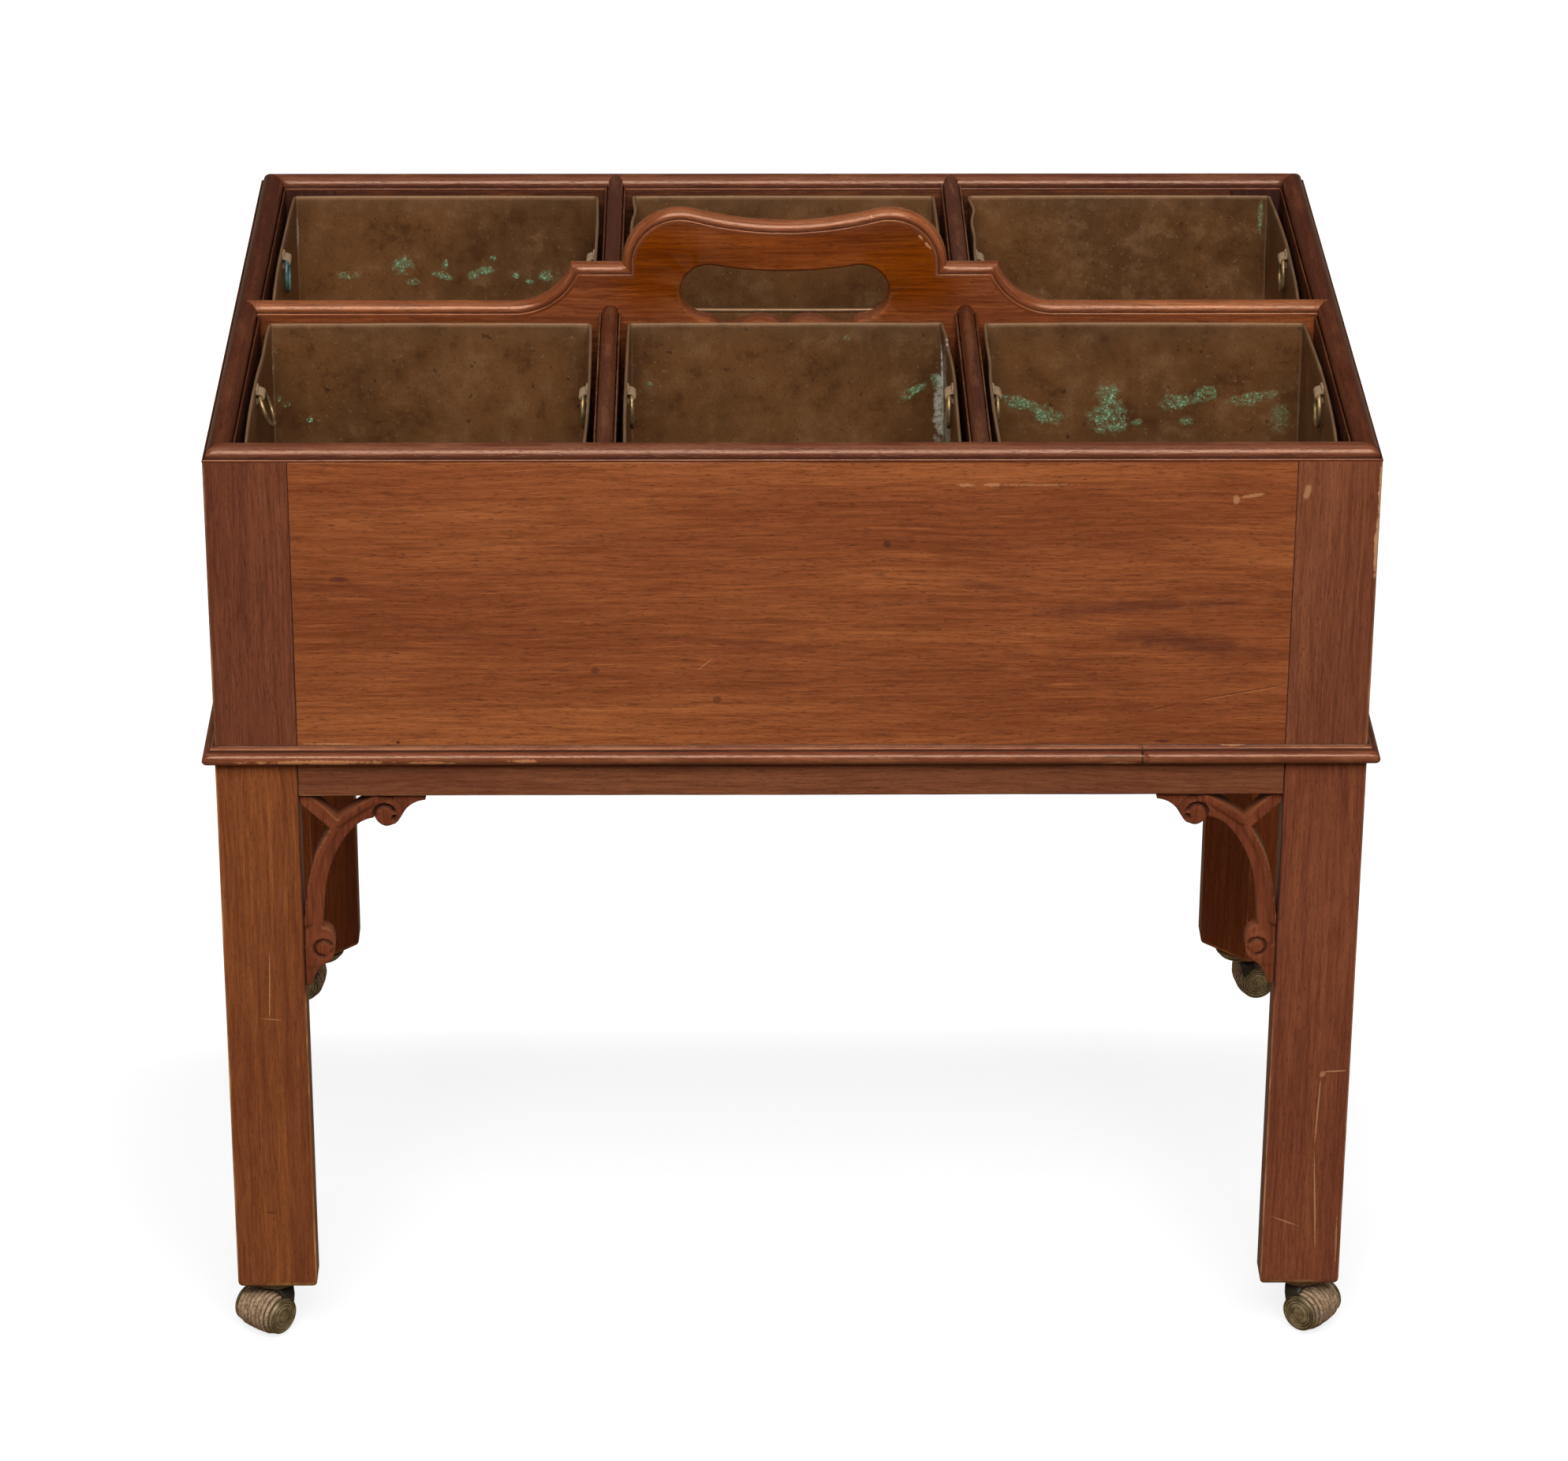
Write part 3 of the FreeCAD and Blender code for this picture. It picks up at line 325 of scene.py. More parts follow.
class Finish:
    # one material's node tree, built by short calls
    def __init__(self, name):
        self.material = bpy.data.materials.new(name)
        self.material.use_nodes = True
        self.tree = self.material.node_tree
        self.tree.nodes.clear()
        self.shader = self.node("BsdfPrincipled")
        self.tree.links.new(self.shader.outputs[0], self.node("OutputMaterial").inputs[0])
        self.place = self.node("TexCoord").outputs["Object"]
        self.colour = None
        self.ragNoise = None, None  # how fine it is, and its socket

    def plug(self, socket, value):
        if isinstance(value, bpy.types.NodeSocket):
            self.tree.links.new(value, socket)
        elif value is not None:
            socket.default_value = value

    def node(self, kind, *values, **settings):
        made = self.tree.nodes.new("ShaderNode" + kind)
        for key, value in settings.items():
            setattr(made, key, value)
        for index, value in enumerate(values):
            self.plug(made.inputs[index], value)
        return made

    def attribute(self, name, output="Fac"):
        return self.node("Attribute", attribute_name=name).outputs[output]

    def math(self, operation, first, second=None, third=None, clamp=False):
        return self.node("Math", first, second, third, operation=operation, use_clamp=clamp).outputs[0]

    def vector(self, operation, first, second=None, output="Vector"):
        return self.node("VectorMath", first, second, operation=operation).outputs[output]

    def mix(self, share, first, second, blend="MIX"):
        made = self.node("Mix", share, data_type="RGBA", blend_type=blend)
        self.plug(made.inputs[6], first)
        self.plug(made.inputs[7], second)
        return made.outputs[2]

    def span(self, value, low, high, start=0.0, end=1.0):
        return self.node("MapRange", value, low, high, start, end, interpolation_type="SMOOTHSTEP").outputs[0]

    def grey(self, level):
        return self.node("CombineColor", level, level, level).outputs[0]

    def paint(self, mask, colour, blend="MIX"):
        # one more layer; the colour is a socket, a linear colour or three screen levels
        if isinstance(colour, tuple) and len(colour) == 3:
            colour = screenColour(*colour)
        self.colour = self.mix(mask, self.colour, colour, blend)

    def layer(self, source, low, high, amount, colour):  # a colour laid where the source nears high
        self.paint(self.span(source, low, high, 0.0, amount), colour)

    def noise(self, place, scale, detail=3.0, rough=0.55, colour=False):
        if not isinstance(scale, (int, float)):
            place, scale = self.vector("MULTIPLY", place, scale), 1.0
        made = self.node("TexNoise")
        for key, value in (("Vector", place), ("Scale", scale), ("Detail", detail), ("Roughness", rough)):
            self.plug(made.inputs[key], value)
        return made.outputs["Color" if colour else "Fac"]

    def bump(self, height, distance, strength):
        made = self.node("Bump")
        for key, value in (("Height", height), ("Distance", distance), ("Strength", strength)):
            self.plug(made.inputs[key], value)
        return made.outputs["Normal"]

    def set(self, **values):
        names = {"metal": "Metallic", "rough": "Roughness", "normal": "Normal", "gloss": "Specular IOR Level",
                 "tint": "Specular Tint"}
        self.plug(self.shader.inputs["Base Color"], self.colour)
        for key, value in values.items():
            self.plug(self.shader.inputs[names[key]], value)
        return self.material

    def spot(self, x, y, z, wide, deep, high, depth=1.0, ragged=0.35, turn=0.0, fine=260.0, soft=0.45):
        # a placed soft-edged mark: its middle and half sizes in mm, turned in degrees about the Y axis
        mapping = self.node("Mapping", self.place, (x * mm, y * mm, z * mm), (0.0, math.radians(turn), 0.0),
                            (wide * mm, deep * mm, high * mm), vector_type="TEXTURE")
        reach = self.vector("LENGTH", mapping.outputs[0], output="Value")
        if self.ragNoise[0] != fine:
            self.ragNoise = fine, self.math("SUBTRACT", self.noise(self.place, fine, 4, 0.65), 0.5)
        reach = self.math("MULTIPLY_ADD", self.ragNoise[1], 2 * ragged, reach)
        return self.math("MULTIPLY", self.span(reach, 1.0, 1.0 - soft), depth)

    def spots(self, marks):
        total = None
        for mark in marks:
            mask = self.spot(*mark)
            total = mask if total is None else self.math("MAXIMUM", total, mask)
        return total


def mahogany(name, look, darkMarks=(), paleMarks=(), amberMarks=()):
    f = Finish(name)
    along = f.attribute("grain", "Vector")
    swirl = f.vector("SUBTRACT", f.noise(along, (5.0, 11.0, 11.0), 2, colour=True), (0.5, 0.5, 0.5))
    grain = f.vector("ADD", along, f.vector("MULTIPLY", swirl, (0.0, look["sway"], look["sway"])))
    figure, bands, lines, flecks, fibres, pores = (
        f.noise(grain, (length, across, across), detail, rough) for length, across, detail, rough in (
            (2.2, 20.0, 4, 0.6), (5.5, 120.0, 4, 0.62), (16.0, 480.0, 3, 0.62), (70.0, 900.0, 2, 0.6),
            (60.0, 1500.0, 2, 0.7), (230.0, 2300.0, 1, 0.5)))
    f.colour = f.mix(f.span(figure, 0.36, 0.66), look["deep"], look["light"])
    f.layer(bands, 0.52, 0.72, look["streaks"], look["streak"])
    f.layer(bands, 0.46, 0.3, look["streaks"] * 0.8, look["glow"])
    f.layer(lines, 0.42, 0.68, look["lines"], f.mix(1.0, f.colour, (0.62, 0.54, 0.5, 1), "MULTIPLY"))
    f.layer(lines, 0.4, 0.26, look["lines"] * 0.7, look["glow"])
    f.layer(flecks, 0.6, 0.72, look["flecks"], look["streak"])
    if darkMarks:
        f.paint(f.spots(darkMarks), look["knot"])
    if amberMarks:
        f.paint(f.spots(amberMarks), look["amber"], "MULTIPLY")
    f.paint(1.0, f.grey(f.span(fibres, 0.25, 0.75, 0.8, 1.2)), "MULTIPLY")
    poreMask = f.span(pores, 0.60, 0.72, 0.0, look["pores"])
    f.paint(poreMask, look["pore"])
    patchy = f.noise(along, (16.0, 60.0, 60.0), 4, 0.7)
    # rubbed arrises paint lighter; on beads this lighter colour is also a painted highlight
    rub = f.math("MULTIPLY", f.attribute("wear"), f.span(patchy, 0.42, 0.68, 0.15, 1.0))
    rub = f.math("MULTIPLY", rub, look["rub"], clamp=True)
    if paleMarks:
        rub = f.math("MAXIMUM", rub, f.spots(paleMarks))
    f.paint(rub, look["bare"])
    # the soil channel paints the dark wax colour: old wax and dirt, and painted shade in quirks, under the lip
    # and on inner faces
    crumbs = f.span(f.noise(along, (50.0, 300.0, 300.0), 3, 0.7), 0.25, 0.6, 0.6, 1.0)
    f.paint(f.math("MULTIPLY", f.attribute("soil"), crumbs), look["wax"])
    height = f.math("SUBTRACT", f.math("MULTIPLY_ADD", lines, -0.8, fibres), f.math("MULTIPLY", poreMask, 1.6))
    rough = f.math("ADD", f.span(patchy, 0.3, 0.7, look["rough"] - 0.05, look["rough"] + 0.06),
                   f.math("MULTIPLY", rub, 0.12))
    return f.set(rough=rough, normal=f.bump(height, look["relief"] * mm, 0.55), gloss=look["gloss"],
                 tint=(1.0, 0.63, 0.44, 1.0))


def lookFrom(base, tint=(1, 1, 1), **changes):
    # another look's colours, each lighter or darker, then the changes, whose colours are three screen levels
    shares = (*tint, 1.0)
    look = {}
    for key, value in base.items():
        look[key] = tuple(a * b for a, b in zip(value, shares)) if isinstance(value, tuple) else value
    for key, value in changes.items():
        look[key] = screenColour(*value) if isinstance(value, tuple) and len(value) == 3 else value
    return look


woodLook = lookFrom({}, deep=(134, 70, 37), light=(160, 90, 47), streak=(104, 52, 33), glow=(176, 102, 52),
                    knot=(84, 42, 30), pore=(66, 34, 24), bare=(200, 142, 92), wax=(42, 26, 22), sway=0.012,
                    streaks=0.3, lines=0.6, flecks=0.7, pores=0.6, rub=0.9, relief=0.06, rough=0.42, gloss=0.07)
plainLook = lookFrom(woodLook, deep=(112, 57, 35), light=(128, 68, 40), glow=(146, 82, 46), streaks=0.5)
mouldingLook = lookFrom(woodLook, deep=(92, 44, 28), light=(108, 57, 35), streak=(70, 32, 22),
                        glow=(122, 67, 41), bare=(206, 142, 98), rub=0.3, rough=0.23, gloss=0.55, streaks=0.5,
                        relief=0.08)
# a darker copy of the mahogany for the partitions and the bottom board: painted shade inside the box
innerLook = lookFrom(woodLook, deep=(74, 34, 22), light=(90, 44, 28), streak=(60, 27, 19), glow=(102, 54, 33),
                     rub=0.3, rough=0.25, gloss=0.4, streaks=0.4, lines=0.35)
handleLook = lookFrom(innerLook, deep=(118, 61, 34), light=(146, 81, 44), glow=(160, 92, 46),
                      streak=(86, 40, 20), bare=(206, 148, 104), amber=(0.84, 0.62, 0.05, 1.0), gloss=0.6,
                      rough=0.23, streaks=0.6, lines=0.8)
carvedLook = lookFrom(woodLook, deep=(106, 54, 36), light=(124, 66, 42), streak=(90, 44, 32),
                      glow=(136, 76, 48), rub=0.4, streaks=0.4, flecks=0.3, pores=0.3, rough=0.42)


faceY = cadBox("front_panel")[0].y  # the carrier's front face
legY = cadBox("front_left_leg")[0].y
# marks: middle x, y, z and half sizes x, y, z, then strength, raggedness, turn, how fine, how soft
panelDark = [
    (190, faceY, 468, 88, 30, 6.5, 0.5, 0.7, -3, 90, 0.9),
    (215, faceY, 446, 60, 30, 8.5, 0.6, 0.7, 6, 90, 0.9),
    (105, faceY, 480, 45, 30, 4, 0.4, 0.7, 9, 90, 0.9),
    (-247.7, faceY, 484.7, 7, 20, 2.2, 0.7, 0.5),
    (-108.4, faceY, 429.8, 3, 20, 2.4, 0.6, 0.4),
    (-41.1, faceY, 411.9, 3.2, 20, 2.6, 0.6, 0.4),
    (51.4, faceY, 505.4, 2.6, 20, 2.6, 0.8, 0.3),
    (-218, faceY, 386.2, 1.2, 20, 1.2, 1, 0.2),
    (205.3, faceY, 406.9, 12, 20, 0.35, 0.85, 0.25, -16, 120),
    (246.4, faceY, 415.7, 32, 20, 0.35, 0.85, 0.25, -10.8, 120),
    (160, faceY, 385, 40, 20, 0.4, 0.6, 0.4, 0, 120),
    (206, faceY, 386, 5, 20, 1.1, 0.9, 0.6),
    (-190, faceY, 455, 60, 30, 2.6, 0.3, 0.7, 7, 60, 0.9),
    (-20, faceY, 446, 90, 30, 3, 0.28, 0.8, 4, 60, 0.9),
    (60, faceY, 470, 70, 30, 2.2, 0.3, 0.8, -4, 60, 0.9),
]
panelPale = [
    (94, faceY, 540.4, 6, 20, 1, 0.5, 1.1, 0, 500),
    (108, faceY, 540.5, 5, 20, 1.2, 0.5, 1.1, 0, 500),
    (134, faceY, 540.4, 22, 20, 0.8, 0.35, 1.2, 0, 500),
    (241, faceY, 531.5, 2.4, 20, 3, 0.5, 0.6, 0, 500),
    (250, faceY, 534, 8, 20, 1.3, 0.5, 0.6, -9, 500),
    (-48, faceY, 433.5, 6.5, 20, 0.35, 0.5, 0.2, -42),
    (-254, faceY, 385.2, 18, 20, 0.8, 0.5, 0.9, 0, 500),
    (246.4, faceY, 414.9, 32, 20, 0.3, 0.35, 0.5, -10.8, 300),
]
postPale = [
    (319.6, faceY, 535, 1.8, 9, 17, 0.7, 1),
    (318.6, faceY, 505, 1.6, 9, 22, 0.6, 1),
    (279.5, faceY, 536, 2.2, 9, 5, 0.35, 0.8, 8),
    (-319.6, faceY, 470, 0.8, 9, 60, 0.4, 1.3),
]
legPale = [
    (311.5, legY, 176.7, 8.5, 10, 0.6, 0.55, 0.35, -3, 500),
    (304.4, legY, 174.8, 1.9, 10, 2.6, 0.45, 0.5, 40, 500),
    (302.6, legY, 150, 0.6, 10, 26, 0.55, 0.4, 2, 500),
    (303.6, legY, 92, 0.6, 10, 38, 0.55, 0.45, -3, 500),
    (287, legY, 77.5, 9.5, 10, 0.7, 0.4, 0.6, 22, 500),
    (317.3, legY, 64, 0.6, 10, 18, 0.4, 0.8, -1, 500),
    (-294.6, legY, 233, 0.5, 10, 27, 0.4, 0.8, 2, 500),
    (-294, legY, 212, 7, 10, 0.5, 0.3, 0.6, 6, 500),
]
legDark = [
    (-299.1, legY, 85.3, 2.8, 10, 0.8, 0.9, 0.3),
]
handleAmber = [
    (-2, -7, 590, 110, 30, 38, 0.6, 0.2, 0, 30, 0.6),
    (-72, -7, 586, 46, 30, 42, 1, 0.2, 0, 30, 0.7),
    (68, -7, 584, 50, 30, 42, 1, 0.2, 0, 30, 0.7),
]
handlePale = [
    (47.4, -6, 614.7, 1.1, 4, 0.9, 0.6, 0.5, 35, 500),
    (75.6, -6, 603.2, 2.4, 4, 0.9, 0.6, 0.6, 50, 500),
    (80, -7, 598, 3, 3, 1, 0.6, 0.9, 45, 500),
]
lipDark = [
    (194.3, legY - 4, 377, 0.8, 12, 8, 1, 0.1, 0, 260, 0.2),
    (167.2, legY - 4, 379, 0.3, 12, 4, 0.6, 0.3),
    (181, legY - 4, 379.8, 14, 12, 0.6, 0.8, 0.4),
    (325.6, legY - 5, 378, 0.6, 12, 5, 1, 0.3),
]
lipPale = [
    (181, legY - 5, 374, 13.5, 12, 3.4, 0.4, 0.3),
    (306, legY - 6, 371.8, 21, 12, 2, 0.6, 0.8, 0, 300),
    (244, legY - 1, 384.6, 9, 12, 1, 0.85, 0.6, 0, 500),
    (-264, legY - 4, 377, 46, 20, 1.6, 0.6, 1.2, 0, 160),
    (-200, legY - 4, 376.5, 14, 20, 1.2, 0.5, 1, 0, 160),
    (-150, legY - 4, 377.5, 9, 20, 1.2, 0.5, 1, 0, 160),
]

panelWood = mahogany("panel_wood", lookFrom(woodLook, (0.98, 1.06, 1.22)), panelDark, panelPale)
postWood = mahogany("post_wood", lookFrom(plainLook, (0.83, 0.96, 1.26)), paleMarks=postPale)
wornPostWood = mahogany("worn_post_wood", lookFrom(plainLook, (1.12, 1.38, 1.66), rub=1.3), paleMarks=postPale)
# the hind legs get a darker copy of the leg mahogany: painted shade under the carrier
hindLegWood = mahogany("hind_leg_wood", lookFrom(plainLook, (1.1, 1.02, 0.84)))
legWoods = {
    "front_left": mahogany("left_leg_wood", lookFrom(plainLook, (1.28, 1.48, 1.3)), legDark, legPale),
    "front_right": mahogany("right_leg_wood", lookFrom(plainLook, (1.08, 1.22, 1.5)), legDark, legPale),
    "back_left": hindLegWood, "back_right": hindLegWood,
}
railWood = mahogany("rail_wood", lookFrom(plainLook, (1.01, 1.3, 1.56)))
mouldingWood = mahogany("moulding_wood", mouldingLook)
# the side rims get a darker copy of the moulding mahogany: painted shade, as their tops catch less light
sideRimWood = mahogany("side_rim_wood", lookFrom(mouldingLook, (0.62, 0.52, 0.44), gloss=0.22))
lipWood = mahogany("lip_wood", lookFrom(mouldingLook, (1.3, 1.3, 1.25), knot=(24, 12, 9)), lipDark, lipPale)
dividerCapWood = mahogany("divider_cap_wood", handleLook, paleMarks=handlePale)
dividerWood = mahogany("divider_wood", lookFrom(handleLook, gloss=0.1, rough=0.45), (), handlePale, handleAmber)
# painted shade: the darker inner copy of the mahogany
innerWood = mahogany("inner_wood", innerLook)
carvedWood = mahogany("carved_wood", carvedLook)


def linerMetal(name, patches, seams, lift):
    f = Finish(name)
    cloud = f.noise(f.place, (9.0, 9.0, 7.0), 4, 0.6)
    mottle = f.noise(f.place, 52.0, 5, 0.72)
    speck = f.noise(f.place, 330.0, 3, 0.6)
    grit = f.noise(f.place, 800.0, 2, 0.6)
    runs = f.noise(f.place, (150.0, 150.0, 12.0), 3, 0.6)
    pits = f.noise(f.place, 190.0, 2, 0.5)
    f.colour = f.mix(f.span(cloud, 0.35, 0.65), screenColour(108, 71, 38), screenColour(132, 87, 48))
    f.layer(mottle, 0.5, 0.7, 0.5, (146, 108, 70))
    f.layer(mottle, 0.46, 0.32, 0.5, (86, 50, 28))
    f.layer(runs, 0.55, 0.75, 0.1, (150, 122, 92))
    f.layer(speck, 0.62, 0.72, 0.5, (160, 130, 96))
    f.layer(grit, 0.58, 0.68, 0.45, (68, 42, 26))
    f.layer(pits, 0.7, 0.76, 0.6, (58, 34, 24))
    # the whole colour scaled by the liner's painted light
    f.paint(1.0, (lift, lift, lift, 1), "MULTIPLY")
    # rubbed edges paint lighter; on the rolled rim this lighter line is also a painted highlight
    f.paint(f.math("MULTIPLY", f.attribute("wear"), 0.6), (186, 156, 124))
    f.paint(f.attribute("soil"), (58, 42, 30))
    # bloom and solder streaks, which on the front-middle liner's right wall also stand in as painted light; the
    # outside of a liner stays clean
    area = f.math("MULTIPLY", f.spots(patches), f.attribute("plain"))
    broken = f.math("MULTIPLY", f.span(f.noise(f.place, 150.0, 5, 0.75), 0.36, 0.54),
                    f.span(f.noise(f.place, 520.0, 4, 0.75), 0.4, 0.56, 0.25, 1.0))
    bloom = f.math("MULTIPLY", area, broken)
    f.paint(f.math("MULTIPLY", bloom, 0.85), (90, 124, 84))
    crust = f.math("MULTIPLY", bloom, f.span(f.noise(f.place, 700.0, 3, 0.7), 0.52, 0.62))
    f.paint(crust, (156, 204, 166))
    # pale solder and corrosion streaks, on the front-middle liner's right wall partly painted light
    streak = f.math("MULTIPLY", f.spots(seams), f.span(speck, 0.35, 0.6, 0.35, 1.0))
    streak = f.math("MULTIPLY", streak, f.attribute("plain"))
    f.paint(streak, (222, 224, 208))
    height = f.math("ADD", f.math("MULTIPLY", mottle, 0.6), f.math("MULTIPLY", speck, 0.25))
    rough = f.math("MAXIMUM", f.span(mottle, 0.3, 0.7, 0.42, 0.62), f.math("MULTIPLY", bloom, 0.9))
    metal = f.math("SUBTRACT", f.math("MULTIPLY_ADD", bloom, -0.5, 0.5), streak, clamp=True)
    return f.set(metal=metal, rough=rough, normal=f.bump(f.math("ADD", height, bloom), 0.0006, 0.4), gloss=0.4)


def agedBrass(name, light, dark, metal):
    f = Finish(name)
    mottle = f.noise(f.place, 160.0, 5, 0.7)
    fine = f.noise(f.place, 900.0, 3, 0.6)
    f.colour = f.mix(f.span(mottle, 0.35, 0.65), screenColour(*dark), screenColour(*light))
    f.layer(fine, 0.6, 0.75, 0.5, (58, 56, 38))
    f.paint(f.math("MULTIPLY", f.attribute("wear"), 0.6), (190, 170, 112))
    # soil paints dark: dirt, and painted shade on the castor arms and under the crowns
    f.paint(f.attribute("soil"), (44, 34, 22))
    return f.set(metal=metal, rough=f.span(mottle, 0.3, 0.7, 0.34, 0.52),
                 normal=f.bump(f.math("ADD", mottle, f.math("MULTIPLY", fine, 0.4)), 0.0003, 0.4))


def stackedLeather(name):
    f = Finish(name)
    mottle = f.noise(f.place, 240.0, 5, 0.75)
    fleck = f.noise(f.place, 760.0, 3, 0.65)
    f.colour = f.mix(f.span(mottle, 0.35, 0.65), screenColour(150, 122, 92), screenColour(194, 164, 132))
    f.layer(fleck, 0.54, 0.62, 0.85, (72, 50, 40))
    # pale specks scattered over the leather: painted glints
    f.layer(f.noise(f.place, 1100.0, 2, 0.6), 0.68, 0.74, 0.8, (226, 206, 180))
    f.paint(f.attribute("soil"), (70, 54, 44))
    return f.set(rough=0.78, normal=f.bump(f.math("ADD", mottle, fleck), 0.0005, 0.7), gloss=0.25)


brassFinish = agedBrass("castor_brass_finish", (158, 138, 98), (104, 88, 60), 0.4)
wireFinish = agedBrass("ring_wire_finish", (186, 156, 108), (122, 98, 66), 0.7)
greenWireFinish = agedBrass("green_wire_finish", (104, 138, 130), (48, 66, 66), 0.3)
leatherFinish = stackedLeather("wheel_leather_finish")
print("finishes made")

sideAxes = (("front", "x"), ("back", "x"), ("left", "y"), ("right", "y"))
leg = {"arris": 0.9, "footRound": 4.5, "headRound": 0.4, "chamfer": 27}


def cornerOf(node, xSide, ySide):  # the corner that points outwards, the one that points inwards, foot and top
    low, high = cadBox(node)
    outerX, innerX = (low.x, high.x) if xSide < 0 else (high.x, low.x)
    outerY, innerY = (low.y, high.y) if ySide < 0 else (high.y, low.y)
    return Vector((outerX, outerY)), Vector((innerX, innerY)), low.z, high.z


for corner, xSide, ySide in corners:
    outer, inner, foot, top = cornerOf(f"{corner}_leg", xSide, ySide)
    outline = [outer, (inner.x, outer.y), (inner.x, inner.y + ySide * leg["chamfer"]),
               (inner.x + xSide * leg["chamfer"], inner.y), (outer.x, inner.y)]
    bar(f"{corner}_leg_timber", outline, foot, top, "z", legWoods[corner], "stand", "carcase_wood",
        [f"{corner}_leg"], leg["arris"], (leg["footRound"], leg["headRound"]), joints=(1, 4),
        above=cadBox(f"{corner}_brackets")[0].z)


def boxTimber(node, axis, material, body, slotName, radius, end, **more):
    low, high = cadBox(node)
    i = "xyz".index(axis)
    a, b = [j for j in range(3) if j != i]
    outline = [(low[a], low[b]), (high[a], low[b]), (high[a], high[b]), (low[a], high[b])]
    bar(f"{node}_timber", outline, low[i], high[i], axis, material, body, slotName, [node], radius, (end, end),
        **more)


rail = {"arris": 0.7, "end": 0.5}
for side, axis in sideAxes:
    boxTimber(f"{side}_rail", axis, railWood, "stand", "carcase_wood", rail["arris"], rail["end"],
              joints=range(4))
print("legs and rails made")


capShape = {"shelf": 1.5, "bead": 0.5, "foot": 1.4, "roundSteps": 18, "beadSteps": 5, "quirk": 0.55}


def capProfile(thick, crest, foot):
    # (across, level, wear and painted highlight, soil and painted shade) from one foot, over the half-round, to
    # the other foot
    half = thick / 2
    radius = half - capShape["shelf"]
    spring = crest - radius
    bead = capShape["bead"]
    # soil at the foot draws the dark line under the bead at the joint: dirt and painted shadow
    side = [(half, foot, 0, 0.5), (half, spring - bead - 0.3, 0, 0), (half, spring - bead, 0.2, 0)]
    # the bead gets wear 0.9, so it paints lighter: partly worn, partly a painted highlight
    for k in range(1, capShape["beadSteps"]):
        angle = math.pi * k / capShape["beadSteps"]
        side.append((half - bead + bead * math.cos(angle), spring - bead + bead * math.sin(angle), 0.9, 0))
    # the quirk and the crown's foot are darkened through soil: old wax and painted shade in the groove
    side += [(half - 2 * bead, spring - bead, 0, 0.8),
             ((half - 2 * bead + radius) / 2, spring - bead - capShape["quirk"], 0, 1),
             (radius, spring - bead * 0.6, 0, 1)]
    steps = capShape["roundSteps"]
    crown = []
    for k in range(steps + 1):
        angle = math.pi * k / steps
        crown.append((radius * math.cos(angle), spring + radius * math.sin(angle), 0.55 * math.sin(angle) ** 4,
                      max(1 - min(k, steps - k) / 2, 0) * 0.8))
    return side + crown + [(-v, z, wear, soil) for v, z, wear, soil in reversed(side)]


mouldingShape = {"pitch": 4, "dent": 0.12, "endStep": 0.25}


def mouldingLoft(form, profile, reach, place, seed, start=-1.0, end=1.0, shrink=0.14):
    # a profile carried from mitre to mitre; reach gives the half length at each distance across
    half = reach(0)
    dent = mouldingShape["dent"]
    count = max(int((end - start) * half / mouldingShape["pitch"]), 2)
    centre = Vector((sum(p[0] for p in profile), sum(p[1] for p in profile))) / len(profile)
    shares = [start + (end - start) * k / count for k in range(count + 1)]
    step = mouldingShape["endStep"] / half
    shares = [shares[0], shares[0] + step] + shares[1:-1] + [shares[-1] - step, shares[-1]]
    rings = []
    for number, share in enumerate(shares):
        drawn = shrink if number in (0, len(shares) - 1) else 0
        ring = []
        for v, z, wear, soil in profile:
            flat = Vector((v, z))
            flat += (centre - flat).normalized() * drawn
            x = share * reach(v)
            hollow = 0.5 * dent * (1 + wander(seed, x / 40, v / 7, z / 7)) * (1 if wear > 0.05 else 0.25)
            hollow += dent * 2.2 * ease(wander(seed + 5, x / 6, v / 4, z / 4), 0.7, 0.9)
            flat += (centre - flat).normalized() * hollow
            ring.append(form.add(place(x, flat.x, flat.y), max(wear, drawn * 3), soil))
        rings.append(ring)
    form.loft(rings)


sideTurns = (("front", 0), ("right", 90), ("back", 180), ("left", 270))


def turnedPlace(degrees, faceOut):
    # from (along, outward from the face, level) on one side of the box to the model
    turn = Matrix.Rotation(math.radians(degrees), 3, "Z")
    return lambda x, out, z: turn @ Vector((x, -faceOut - out, z))


boxHalf = {"front": -cadBox("left_rim")[0].x, "right": -cadBox("front_rim")[0].y}
boxHalf["back"], boxHalf["left"] = boxHalf["front"], boxHalf["right"]
faceOut = {"front": boxHalf["right"], "right": boxHalf["front"]}
faceOut["back"], faceOut["left"] = faceOut["front"], faceOut["right"]
wallThick = cadBox("front_panel")[1].y - cadBox("front_panel")[0].y
wallTop = cadBox("front_rim")[0].z
rimCrest = cadBox("front_rim")[1].z

for side, degrees in sideTurns:
    name = f"{side}_rim"
    form = Form()
    axis = "x" if side in ("front", "back") else "y"
    place = turnedPlace(degrees, faceOut[side])
    mouldingLoft(form, capProfile(wallThick, rimCrest, wallTop), lambda v: boxHalf[side] - wallThick / 2 - v,
                 lambda x, v, z: place(x, -wallThick / 2 - v, z), seedOf(name))
    makePiece(f"{name}_moulding", form, mouldingWood if axis == "x" else sideRimWood, "carrier",
              [name], axis, 40)

lip = {"reach": 6.49, "nose": 7.5, "quirk": 0.55, "split": 193.9, "splitHalf": 0.0004, "noseSteps": 12,
       "beadSteps": 4}


